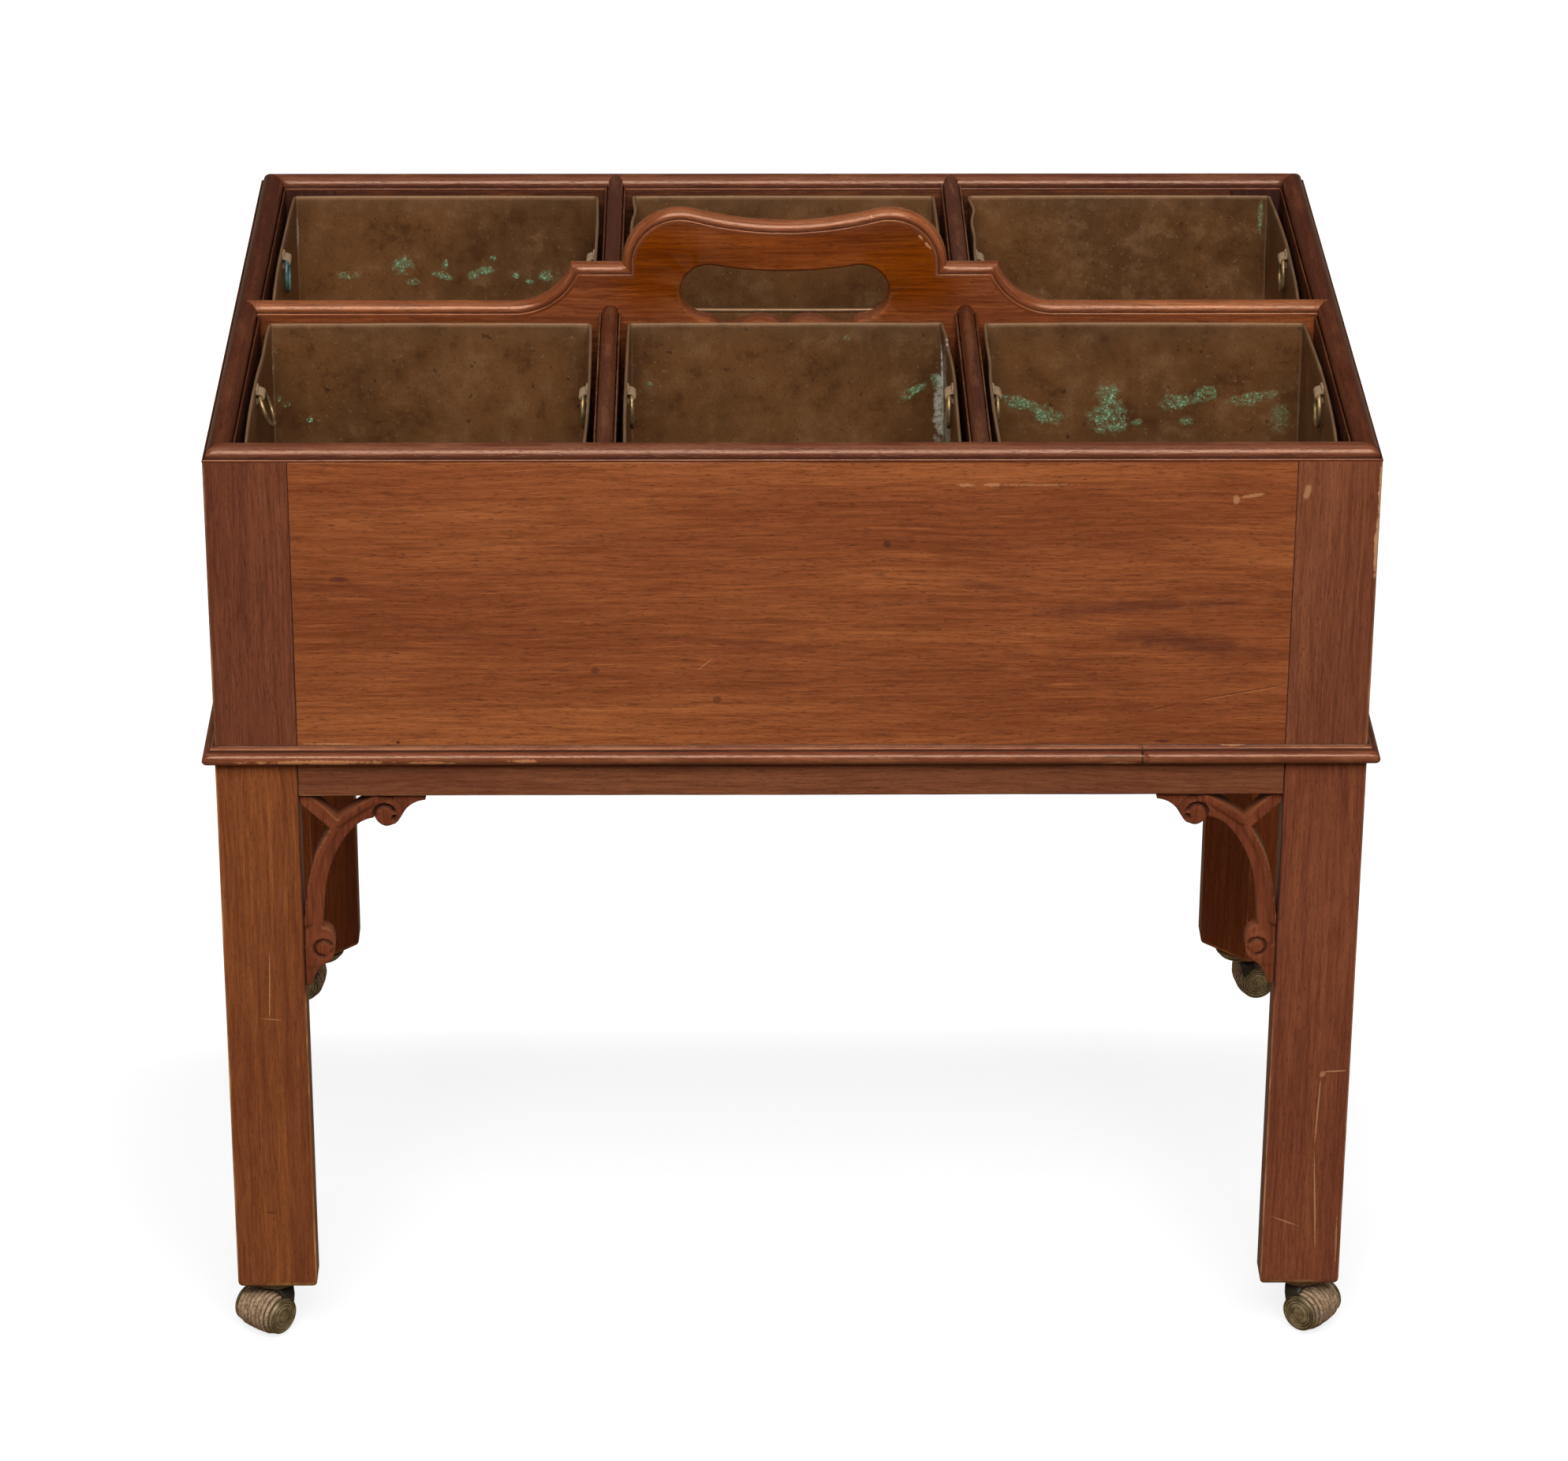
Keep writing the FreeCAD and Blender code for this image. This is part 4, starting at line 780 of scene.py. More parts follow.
def lipProfile():
    # (outward, level, wear, soil and painted shade), from the stand's face round the nose to the carrier's face
    foot, top = (bound.z for bound in cadBox("front_lip"))
    radius = lip["nose"] / 2
    flat = lip["reach"] - radius
    shelf = foot + lip["nose"]
    bead = (top - shelf) / 3
    # soil under the nose darkens the lip's underside: painted shadow under the lip
    section = [(0, foot, 0, 0.3), (flat * 0.5, foot, 0, 0.3), (flat, foot, 0, 0)]
    for k in range(1, lip["noseSteps"]):
        angle = -math.pi / 2 + math.pi * k / lip["noseSteps"]
        section.append((flat + radius * math.cos(angle), foot + radius + radius * math.sin(angle),
                        0.7 * math.cos(angle) ** 6, 0))
    edge = flat - lip["quirk"]
    # the quirk is darkened through soil: old wax and painted shade in the groove
    section += [(flat, shelf, 0, 0.5), (edge + 0.1, shelf - 0.1, 0, 1), (edge, shelf + bead * 0.6, 0, 0.7)]
    for k in range(1, lip["beadSteps"] + 1):
        angle = math.pi / 2 * k / lip["beadSteps"]
        section.append((edge - bead + bead * math.cos(angle), shelf + bead * (1 + math.sin(angle)), 0.7, 0))
    section += [(lip["quirk"] + 0.1, top - 0.35, 0.1, 0.4), (lip["quirk"] * 0.4, top, 0, 0.9), (0, top, 0, 1)]
    return section


for side, degrees in sideTurns:
    name = f"{side}_lip"
    form = Form()
    axis = "x" if side in ("front", "back") else "y"
    standHalf = -cadBox("front_left_leg")[0]
    length, standFace = (standHalf.x, standHalf.y) if axis == "x" else (standHalf.y, standHalf.x)
    runs = [(-1.0, 1.0)]
    if side == "front":  # the front length has split across
        share = lip["split"] / length
        runs = [(-1.0, share - lip["splitHalf"]), (share + lip["splitHalf"], 1.0)]
    for start, end in runs:
        mouldingLoft(form, lipProfile(), lambda out: length + out, turnedPlace(degrees, standFace),
                     seedOf(name), start, end, 0.2)
    makePiece(f"{name}_moulding", form, lipWood, "stand", [name], axis, 40)
print("mouldings made")


wall = {"arris": 1.1, "joint": 0.4}
for corner, xSide, ySide in corners:
    outer, inner, foot, top = cornerOf(f"{corner}_post", xSide, ySide)
    back = Vector((outer.x - xSide * wallThick, outer.y - ySide * wallThick))
    outline = [outer, (inner.x, outer.y), (inner.x, back.y), back, (back.x, inner.y), (outer.x, inner.y)]
    wood = wornPostWood if corner == "front_right" else postWood
    bar(f"{corner}_post_timber", outline, foot, top, "z", wood, "carrier", "carcase_wood", [f"{corner}_post"],
        wall["joint"], (0.3, 0.15), cornerRadii={0: wall["arris"]}, joints=range(1, 6),
        within=(abs(outer.x) - wallThick / 2, abs(outer.y) - wallThick / 2))
for side, axis in sideAxes:
    boxTimber(f"{side}_panel", axis, panelWood, "carrier", "panel_wood", 0.3, wall["joint"], joints=range(4),
              within=(boxHalf["front"] - wallThick / 2, boxHalf["right"] - wallThick / 2))
boxTimber("bottom_board", "x", innerWood, "carrier", "inner_wood", 0.6, 0.5)

partition = {"thick": 12.2, "soilRun": 60, "stations": 32}
dividerLow, dividerHigh = cadBox("handle_divider")
boardTop = cadBox("bottom_board")[1].z
innerHalfDepth = -cadBox("front_panel")[1].y
slotLevel = (boardTop + wallTop) / 2

for side in ("left", "right"):
    name = f"{side}_partition"
    low, high = cadBox(name)
    middle = (low.x + high.x) / 2
    first, *others, last = capProfile(partition["thick"], rimCrest, boardTop)
    clean = wallTop - partition["soilRun"]
    profile = [first, (first[0], clean, 0, 0), *others, (last[0], clean, 0, 0), last]
    slotHalf = (dividerHigh.y - dividerLow.y) / 2
    tip = innerHalfDepth + wallThick / 2
    stations = [(-tip, "cap"), (-innerHalfDepth, "cap"), (-innerHalfDepth, "all")]
    count = partition["stations"]
    stations += [(-innerHalfDepth + (innerHalfDepth - slotHalf) * k / count, "all") for k in range(1, count)]
    stations += [(-slotHalf - 0.25, "all"), (-slotHalf, "end"), (-slotHalf, "low")]
    stations += [(-y, kind) for y, kind in reversed(stations)]
    form = Form()
    rings = []
    seed = seedOf(name)
    for y, kind in stations:
        ring = []
        for v, z, wear, soil in profile:
            hollow = 0.06 * (0.5 + 0.5 * wander(seed, y / 30, v / 5, z / 7)) if z > wallTop else 0
            level = z - hollow
            if kind == "cap":
                level = max(level, wallTop)
            elif kind == "low":
                level = min(level, slotLevel)
            elif kind == "end":
                v *= 0.985
                level -= 0.15 if z > wallTop else 0
                soil = max(soil, 0.6)
            ring.append(form.add((middle + v, y, level), wear, soil))
        rings.append(ring)
    form.loft(rings)
    makePiece(f"{name}_timber", form, innerWood, "carrier", [name], "y", 40)
print("carrier walls made")


handle = {
    "shift": -2.0, "rise": 57.2, "dip": 7.9, "humpSpacing": 120.0, "humpRadius": 33.5, "shoulderRise": 24.0,
    "shoulderWidth": 29.5, "coveRun": 33.0, "gripDepth": 29.5, "holeEnd": 16.5, "holeWidth": 120.0, "wave": 5.5,
    "holeEase": 2.4,
}
holeWaves = ((0.8, 0), (0.58, 0.45), (0.36, 1), (0.15, 0.75), (0, 0))
humpX = handle["humpSpacing"] / 2
humpZ = rimCrest + handle["rise"] - handle["humpRadius"]
dipZ = rimCrest + handle["rise"] - handle["dip"]
shoulderZ = rimCrest + handle["shoulderRise"]
coveX = humpX + handle["humpRadius"] + handle["shoulderWidth"] + handle["coveRun"]
coveRadius = (handle["coveRun"] ** 2 + handle["shoulderRise"] ** 2) / (2 * handle["shoulderRise"])
coveZ = rimCrest + coveRadius
sag = humpZ - dipZ
bowRadius = (humpX ** 2 + sag ** 2 - handle["humpRadius"] ** 2) / (2 * (handle["humpRadius"] + sag))
bowZ = dipZ + bowRadius


def handleTop(drop, reach):
    # right half of the top line, lowered squarely by drop; the same number of points for any drop
    hump = handle["humpRadius"] - drop
    cove = coveRadius + drop
    bow = bowRadius + drop
    share = bow / (bow + hump)
    meet = Vector((humpX * share, bowZ + (humpZ - bowZ) * share))
    lower = Vector((meet.x / 2, bowZ - math.sqrt(bow ** 2 - (meet.x / 2) ** 2)))
    level = shoulderZ - drop
    above = max(level - humpZ, 0)
    side = Vector((humpX + math.sqrt(hump ** 2 - above ** 2), humpZ + above))
    slant = hump / math.sqrt(2)
    neck = Vector((side.x, min(level, side.y - 0.2)))
    ear = Vector((coveX - math.sqrt(cove ** 2 - (coveZ - level) ** 2), level))
    foot = Vector((coveX, coveZ - cove))
    half = math.asin((coveX - ear.x) / cove) / 2
    coveMiddle = Vector((coveX - cove * math.sin(half), coveZ - cove * math.cos(half)))
    run = [Vector((0, bowZ - bow))] + arcRun((0, bowZ - bow), lower, meet, 14)
    run += arcRun(meet, (humpX + slant, humpZ + slant), side, 24)
    run += [side.lerp(neck, k / 3) for k in range(1, 4)]
    run += [neck.lerp(ear, k / 7) for k in range(1, 8)]
    run += arcRun(ear, coveMiddle, foot, 16)
    run += [foot.lerp(Vector((reach, foot.y)), k / 30) for k in range(1, 31)]
    return run


def handleLine(drop, low, high):  # the whole top line, left to right
    left = [Vector((-p.x, p.y)) for p in handleTop(drop, handle["shift"] - low)]
    right = handleTop(drop, high - handle["shift"])
    return [Vector((p.x + handle["shift"], p.y)) for p in list(reversed(left))[:-1] + right]


def handHole():
    end = handle["holeEnd"]
    bow = bowRadius + handle["gripDepth"]
    endX = handle["holeWidth"] / 2 - end
    endZ = bowZ - math.sqrt((bow + end) ** 2 - endX ** 2)
    share = bow / (bow + end)
    meet = Vector((endX * share, bowZ + (endZ - bowZ) * share))
    middle = Vector((meet.x / 2, bowZ - math.sqrt(bow ** 2 - (meet.x / 2) ** 2)))
    floor = endZ - end - handle["wave"]
    half = [Vector((0, bowZ - bow))] + arcRun((0, bowZ - bow), middle, meet, 12)
    side = Vector((endX + end, endZ))
    slant = end / math.sqrt(2)
    half += arcRun(meet, (endX + slant, endZ + slant), side, 12)
    half += arcRun(side, (endX + slant, endZ - slant), (endX, endZ - end), 10)
    half += curveRun([(endX, endZ - end)] + [(endX * u, floor + handle["wave"] * r) for u, r in holeWaves], 7)
    loop = half + [Vector((-p.x, p.y)) for p in reversed(half[1:-1])]
    return [Vector((p.x + handle["shift"], p.y)) for p in loop]


def makeDivider():
    form = Form()
    thick = dividerHigh.y - dividerLow.y
    innerHalf = boxHalf["front"] - wallThick
    profile = capProfile(thick, 0, -(thick / 2 - capShape["shelf"] + capShape["bead"] + capShape["foot"]))
    lines = [handleLine(-z, -innerHalf, innerHalf) for v, z, wear, soil in profile]
    count = len(lines[0])
    crest = lines[len(profile) // 2]
    runs = [0.0]
    for a, b in zip(crest, crest[1:]):
        runs.append(runs[-1] + (b - a).length)
    seed = seedOf("handle_divider")
    capRings = []
    for i in range(count):
        ring = []
        for (v, z, wear, soil), line in zip(profile, lines):
            point = Vector((line[i].x, v, line[i].y))
            hollow = 0.12 * (0.5 + 0.5 * wander(seed, runs[i] / 10, v / 6)) if z > -6 else 0
            hollow += 0.35 * ease(wander(seed + 3, runs[i] / 11, v / 6), 0.6, 0.9) if z > -7 else 0
            onward = (crest[min(i + 1, count - 1)] - crest[max(i - 1, 0)]).normalized()
            point += Vector((onward.y, 0, -onward.x)) * hollow
            ring.append(form.add(point, wear, soil, (runs[i], v + 40, min(z, 0))))
        capRings.append(ring)
    form.skin(capRings, closed=False)

    # the two faces, with the hand hole and the halving slots
    hole = handHole()
    eased = handle["holeEase"]
    foot = lines[0]
    face = handleLine(0.3 - profile[0][1], -innerHalf, innerHalf)  # the cap's grain ends in a narrow strip
    edge = face + [Vector((innerHalf, boardTop))]
    for side in ("right", "left"):
        low, high = cadBox(f"{side}_partition")
        edge += [Vector((high.x, boardTop)), Vector((high.x, slotLevel)), Vector((low.x, slotLevel)),
                 Vector((low.x, boardTop))]
    edge.append(Vector((-innerHalf, boardTop)))
    opened = offsetRun(hole, eased)
    if sum((p - hole[0]).length for p in opened) < sum((p - hole[0]).length for p in hole):
        opened = offsetRun(hole, -eased)
    inner = [Vector((x, z)) for x in range(-280, 281, 20) for z in range(400, 560, 20)]
    flat, triangles = fillFlat([edge, opened], inner)
    for y, end in ((thick / 2, 0), (-thick / 2, -1)):
        base = [form.add((p.x, y, p.y)) for p in flat]
        for triangle in triangles:
            form.faces.append(tuple(base[i] for i in triangle))
        form.skin([[ring[end] for ring in capRings], [form.add((p.x, y, p.y)) for p in face]], closed=False)
    rest = [foot[-1]] + edge[count - 1:] + [edge[0], foot[0]]
    form.skin([[form.add((p.x, y, p.y), 0, 0.4) for p in rest] for y in (-thick / 2, thick / 2)], closed=False)
    rings = []
    for k in range(6):
        angle = math.pi / 2 * k / 5
        rings.append((thick / 2 - eased * (1 - math.cos(angle)),
                      [p.lerp(q, math.sin(angle)) for p, q in zip(opened, hole)]))
    form.skin([[form.add((p.x, y, p.y), 0.25) for p in ring]
               for y, ring in [(-y, ring) for y, ring in rings] + rings[::-1]])
    # the scribed tips that reach into the side rims
    for sign, ring in ((-1, capRings[0]), (1, capRings[-1])):
        tip = [form.add((sign * (innerHalf + wallThick / 2), v, rimCrest + z), wear, soil)
               for v, z, wear, soil in profile]
        form.skin([tip, ring], closed=False)
        form.faces.append((tip[0], tip[-1], ring[-1], ring[0]))
        form.cap(tip)
    makePiece("handle_divider_timber", form, dividerCapWood, "carrier", ["handle_divider"], "x",
              38, plain=dividerWood)


makeDivider()
print("divider made")


bracket = {"round": 0.8, "pitch": 0.95, "lineStep": 1.2, "width": 71, "height": 120, "clear": 1.3, "thick": 12,
           "eye": (47.1, 12.5, 4.7), "lowEye": (10.3, 97.0, 4.1), "curl": (48.3, 11.0), "band": 3.4,
           "cove": 1.5, "back": 0.9, "groove": 2.1, "lowGroove": 1.7, "leaf": 0.8, "tip": 0.5}
# (kind, steps, points) out along the rail and down the leg; the outer ones bound the scroll's flat band
bracketOutline = (
    ("line", 0, (4.8, 0)), ("line", 0, (20.4, 15.9)), ("outer arc", 12, (31, 8), (44, 0)), ("line", 0, (71, 0)),
    ("line", 0, (70, 4)), ("arc", 12, (62.5, 6.6), (57.5, 12.2)),
    ("curve", 6, (53.5, 17.9), (48.4, 20), (44.2, 18), (41.5, 14.4)),
    ("curve", 12, (31, 20), (20.5, 34.5), (13.2, 56), (10.3, 84.4)),
    ("curve", 6, (15.2, 87.6), (17, 94.4), (15.6, 102.4), (11.2, 106.6)), ("arc", 12, (7, 111.2), (4.3, 118.5)),
    ("arc", 12, (3, 120.2), (0, 120.5)), ("line", 0, (0, 79)),
    ("outer curve", 6, (2.8, 58.5), (7.4, 39.4), (16.3, 21.6)), ("line", 0, (0, 6)), ("line", 0, (0, 0)),
)


def distanceTo(run, point):
    best = 1e9
    for a, b in zip(run, run[1:]):
        span = b - a
        share = min(max((point - a).dot(span) / max(span.length_squared, 1e-9), 0), 1)
        best = min(best, (point - a - span * share).length)
    return best


def bracketForm():
    # (point out along the rail and down the leg, depth from the front, wear, soil and painted shade), and one
    # bracket's faces
    here = Vector((0, 0))
    loop = []
    outer = []
    for kind, steps, *stops in bracketOutline:
        stops = [Vector(p) for p in stops]
        if kind == "line":
            steps = max(int((stops[0] - here).length / bracket["lineStep"]), 1)
            run = [here.lerp(stops[0], k / steps) for k in range(1, steps + 1)]
        elif kind.endswith("arc"):
            run = arcRun(here, *stops, steps)
        else:
            run = curveRun([here] + stops, steps)
        if kind.startswith("outer"):
            outer.append([here] + run)
        loop += run
        here = stops[-1]
    closed = loop + loop[:1]
    inward = -1 if sum(a.x * b.y - b.x * a.y for a, b in zip(loop, loop[1:] + loop[:1])) < 0 else 1
    rings = []
    for distance in (0.22, 0.5, 0.9):
        rings += [p for p in offsetRun(loop, inward * distance) if distanceTo(closed, p) > distance * 0.8]
    pitch = bracket["pitch"]
    grid = [Vector(((i + 0.5 * (j % 2)) * pitch, j * pitch))
            for i in range(int(bracket["width"] / pitch)) for j in range(int(bracket["height"] / pitch))]
    points, triangles = fillFlat([loop], rings + [p for p in grid if distanceTo(closed, p) > bracket["clear"]])
    eyeX, eyeW, eyeR = bracket["eye"]
    lowX, lowW, lowR = bracket["lowEye"]
    carved = []
    for p in points:
        soft = bracket["round"]
        near = min(max(1 - distanceTo(closed, p) / soft, 0), 1)
        depth = soft * (1 - math.sqrt(max(1 - near * near, 0)))
        soil = 0.0
        offEye = (p - Vector((eyeX, eyeW))).length
        offLow = (p - Vector((lowX, lowW))).length
        fromOuter = min(distanceTo(run, p) for run in outer)
        scroll = ease(offEye, eyeR + 1, eyeR + 5) * ease(offLow, lowR + 1, lowR + 6)
        if p.x < 52 and p.y < 96:  # the scroll's inner side is hollowed
            depth += bracket["cove"] * scroll * ease(fromOuter, bracket["band"], bracket["band"] + 2.4) \
                * ease(p.x + p.y, 24, 40)
        turn = math.degrees(math.atan2(-(p.y - eyeW), p.x - eyeX)) % 360
        arcTop = ease(turn, 0, 25) * (1 - ease(turn, 185, 215)) if turn < 300 else ease(turn, 300, 340)
        groove = (1 - ease(abs(offEye - eyeR - 0.9), 0.5, 1.6)) * arcTop
        depth += bracket["groove"] * groove
        # the eye's groove is darkened through soil: dirt and painted shade in the hollow
        soil = max(soil, groove)
        turn = math.degrees(math.atan2(-(p.y - lowW), p.x - lowX)) % 360
        arcLow = 1 - 0.75 * ease(abs((turn - 330 + 180) % 360 - 180), 70, 30)
        groove = (1 - ease(abs(offLow - lowR - 0.8), 0.4, 1.4)) * arcLow
        depth += bracket["lowGroove"] * groove
        # the lower groove likewise: dirt and painted shade
        soil = max(soil, 0.8 * groove)
        curl = (p - Vector(bracket["curl"])).length
        if p.x > 44 and p.y < 14:  # the tail lies behind the curl
            depth += bracket["back"] * ease(curl, 8.6, 9.6)
            # a dark line where the tail passes behind the curl: dirt and painted shade
            soil = max(soil, 0.6 * (1 - ease(abs(curl - 9.2), 0.2, 0.9)))
        # the brace in the corner lies behind the band, on the near side of the line between their meetings
        inCorner = p.x + p.y < 40 and p.x < 22 and p.y < 24 and fromOuter > 0
        if inCorner and (p.x - 16.3) * (15.9 - 21.6) - (p.y - 21.6) * (20.4 - 16.3) > 0:
            depth += bracket["back"]
        if p.x > lowX + 1.2 and lowW - 14 < p.y < lowW + 3 and offLow > lowR + 1:
            depth += bracket["leaf"]  # the little leaf outside the lower eye
        if p.y > 107:
            depth += bracket["tip"] * ease(p.y, 107, 110)
        carved.append((p, depth, 0.9 * near ** 2, soil * (1 - near)))
    return carved, triangles


carvedFace, carvedTriangles = bracketForm()
edgeUses = {}
for triangle in carvedTriangles:
    for a, b in zip(triangle, (*triangle[1:], triangle[0])):
        key = (min(a, b), max(a, b))
        edgeUses[key] = edgeUses.get(key, 0) + 1
sawnEdges = [edge for edge, uses in edgeUses.items() if uses == 1]
railFoot = cadBox("front_rail")[0].z

for corner, xSide, ySide in corners:
    legInner = cornerOf(f"{corner}_leg", xSide, ySide)[1]
    outer = cornerOf(f"{corner}_brackets", xSide, ySide)[0]
    places = (lambda u, w, depth: Vector((legInner.x - xSide * u, outer.y - ySide * depth, railFoot - w)),
              lambda u, w, depth: Vector((outer.x - xSide * depth, legInner.y - ySide * u, railFoot - w)))
    form = Form()
    for place in places:
        front = [form.add(place(p.x, p.y, depth), wear, soil, (p.y - p.x * 0.6, p.x + depth, depth))
                 for p, depth, wear, soil in carvedFace]
        back = [form.add(place(p.x, p.y, bracket["thick"] - min(depth, 0.3)))
                for p, depth, wear, soil in carvedFace]
        for triangle in carvedTriangles:
            form.faces.append(tuple(front[i] for i in triangle))
            form.faces.append(tuple(back[i] for i in reversed(triangle)))
        for a, b in sawnEdges:
            form.faces.append((front[a], front[b], back[b], back[a]))
    makePiece(f"{corner}_brackets_carved", form, carvedWood, "stand", [f"{corner}_brackets"],
              "z", 50)
print("brackets made")


class Tree:
    # one geometry tree with named inputs, used by a modifier and then baked
    def __init__(self, name, inputs):
        self.group = bpy.data.node_groups.new(name, "GeometryNodeTree")
        self.group.interface.new_socket("Geometry", in_out="INPUT", socket_type="NodeSocketGeometry")
        self.names = {}
        for label, kind in inputs:
            socket = self.group.interface.new_socket(label, in_out="INPUT", socket_type="NodeSocket" + kind)
            self.names[label] = socket.identifier
        self.group.interface.new_socket("Geometry", in_out="OUTPUT", socket_type="NodeSocketGeometry")
        self.start = self.group.nodes.new("NodeGroupInput")
        self.end = self.group.nodes.new("NodeGroupOutput")

    def node(self, kind, inputs=None, **settings):
        made = self.group.nodes.new(kind)
        for key, value in settings.items():
            setattr(made, key, value)
        for key, value in (inputs or {}).items():
            if isinstance(value, bpy.types.NodeSocket):
                self.group.links.new(value, made.inputs[key])
            else:
                made.inputs[key].default_value = value
        return made

    def math(self, operation, *values):
        return self.node("ShaderNodeMath", dict(enumerate(values)), operation=operation).outputs[0]

    def given(self, label):
        return self.start.outputs[label]

    def instances(self, points, label, furthestTurn, more=()):
        # an object set on each point, turned at random about Z
        thing = self.node("GeometryNodeObjectInfo", {"Object": self.given(label)})
        spin = self.node("FunctionNodeRandomValue",
                         {"Seed": self.given("Seed"), 0: (0, 0, 0), 1: (0, 0, furthestTurn)},
                         data_type="FLOAT_VECTOR")
        return self.node("GeometryNodeInstanceOnPoints", {
            "Points": points, "Instance": thing.outputs["Geometry"], "Rotation": spin.outputs[0], **dict(more)})

    def finish(self, made):
        real = self.node("GeometryNodeRealizeInstances", {"Geometry": made.outputs[0]})
        painted = self.node("GeometryNodeSetMaterial", {"Geometry": real.outputs[0],
                                                        "Material": self.given("Material")})
        self.group.links.new(painted.outputs[0], self.end.inputs[0])
        return self

    def bake(self, name, start, values):
        # runs the tree on a mesh and gives the result as a plain object
        carrier = bpy.data.objects.new(name + "_source", start)
        bpy.context.scene.collection.objects.link(carrier)
        modifier = carrier.modifiers.new("nodes", "NODES")
        modifier.node_group = self.group
        for label, value in values.items():
            modifier[self.names[label]] = value
        mesh = bpy.data.meshes.new_from_object(carrier.evaluated_get(bpy.context.evaluated_depsgraph_get()))
        mesh.name = name
        carrier.modifiers.remove(modifier)
        bpy.data.objects.remove(carrier)
        return bpy.data.objects.new(name, mesh)


def pathMesh(name, points, closed=True):
    mesh = bpy.data.meshes.new(name)
    links = [(i, i + 1) for i in range(len(points) - 1)]
    if closed:
        links.append((len(points) - 1, 0))
    mesh.from_pydata([Vector(p) * mm for p in points], links, [])
    return mesh


def sweepTree():
    tree = Tree("bend_wire", (("Radius", "Float"), ("Sides", "Int"), ("Material", "Material")))
    path = tree.node("GeometryNodeMeshToCurve", {"Mesh": tree.given("Geometry")})
    ring = tree.node("GeometryNodeCurvePrimitiveCircle", {"Radius": tree.given("Radius"),
                                                          "Resolution": tree.given("Sides")})
    return tree.finish(tree.node("GeometryNodeCurveToMesh",
                                 {"Curve": path.outputs[0], "Profile Curve": ring.outputs[0]}))


def stackTree():
    tree = Tree("stack_discs", (("Disc", "Object"), ("Count", "Int"), ("Pitch", "Vector"), ("Spread", "Float"),
                                ("Taper", "Float"), ("Seed", "Int"), ("Material", "Material")))
    line = tree.node("GeometryNodeMeshLine", {"Count": tree.given("Count"), "Offset": tree.given("Pitch")})
    size = tree.node("FunctionNodeRandomValue", {"Seed": tree.given("Seed"), 2: tree.given("Spread"), 3: 1.0},
                     data_type="FLOAT")
    index = tree.node("GeometryNodeInputIndex").outputs[0]
    last = tree.math("SUBTRACT", tree.given("Count"), 1.0)
    off = tree.math("ABSOLUTE", tree.math("MULTIPLY_ADD", tree.math("DIVIDE", index, last), 2.0, -1.0))
    drop = tree.math("MULTIPLY", tree.math("POWER", off, 4.0), tree.given("Taper"))
    scale = tree.math("SUBTRACT", size.outputs[1], drop)
    return tree.finish(tree.instances(line.outputs[0], "Disc", 6.28, {"Scale": scale}))


def scatterTree():
    tree = Tree("set_screws", (("Screw", "Object"), ("Seed", "Int"), ("Material", "Material")))
    return tree.finish(tree.instances(tree.given("Geometry"), "Screw", 3.14))


wireTree, discTree, screwTree = sweepTree(), stackTree(), scatterTree()


castor = {"inset": 20.5, "trail": 10, "plateRadius": 15.5, "screwCircle": 11.8, "wheelRadius": 13.0,
          "wheelWidth": 24.0, "discs": 8, "cheek": 2.6, "cheekRadius": 11.0, "gap": 0.4, "bore": 2.3,
          "axleRadius": 2.2, "crownGap": 0.35, "discGap": 0.04}
castorTurns = {"front_left": 231, "front_right": 320, "back_left": 174, "back_right": 8}
screwTurns = (90, 225, 0)

plateForm = Form()
screwPlaces = []
plateLow, plateHigh = (bound.z for bound in cadBox("castor_plates"))
pivots = {}
r = castor["plateRadius"]
for corner, xSide, ySide in corners:
    outer = cornerOf(f"{corner}_leg", xSide, ySide)[0]
    pivot = Vector((outer.x - xSide * castor["inset"], outer.y - ySide * castor["inset"], 0))
    pivots[corner] = pivot
    lathe(plateForm, [(plateLow, 0), (plateLow, 4.2), (plateLow + 0.2, 9), (plateLow + 0.1, r - 1.4),
                      (plateLow + 0.5, r - 0.5), (plateLow + 1.1, r - 0.05), (plateHigh - 0.7, r),
                      (plateHigh - 0.15, r - 0.4), (plateHigh, r - 1), (plateHigh, 0)], pivot, (0, 0, 1), 56)
    for turn in screwTurns:
        angle = math.radians(turn)
        screwPlaces.append(pivot + Vector((-xSide * math.cos(angle), -ySide * math.sin(angle), 0))
                           * castor["screwCircle"] + Vector((0, 0, plateLow)))
makePiece("castor_plates_cast", plateForm, brassFinish, "stand", ["castor_plates"], "z", 30)

screwForm = Form()
lathe(screwForm, [(-0.35, 0), (-0.33, 1.0), (-0.2, 1.8), (0.0, 2.25), (0.3, 2.3), (0.9, 1.3), (3.0, 1.3),
                  (3.0, 0)], (0, 0, 0), (0, 0, 1), 20, 0.3)
screwHead = bpy.data.objects.new("screw_shape", screwForm.mesh("screw_shape"))
screws = screwTree.bake("castor_screws_set", pathMesh("screw_points", screwPlaces, False),
                        {"Screw": screwHead, "Seed": 4, "Material": brassFinish})
dress(screws, None, "stand", ["castor_screws"], 30)

discForm = Form()
pitch = castor["wheelWidth"] / castor["discs"]
half = pitch / 2 - castor["discGap"]
radius = castor["wheelRadius"]
rim = [(half * share, radius - inset) for share, inset in ((0.4, 0.03), (0.78, 0.18), (1, 0.5))]
lathe(discForm, [(-half, castor["bore"])] + [(-along, r) for along, r in rim[::-1]] + rim
      + [(half, castor["bore"]), (-half, castor["bore"])], (0, 0, 0), (0, 0, 1), 44)
for i, point in enumerate(discForm.points):
    discForm.soil[i] = 0.6 * ease(abs(point.z), half * 0.7, half)
disc = bpy.data.objects.new("leather_disc", discForm.mesh("leather_disc"))


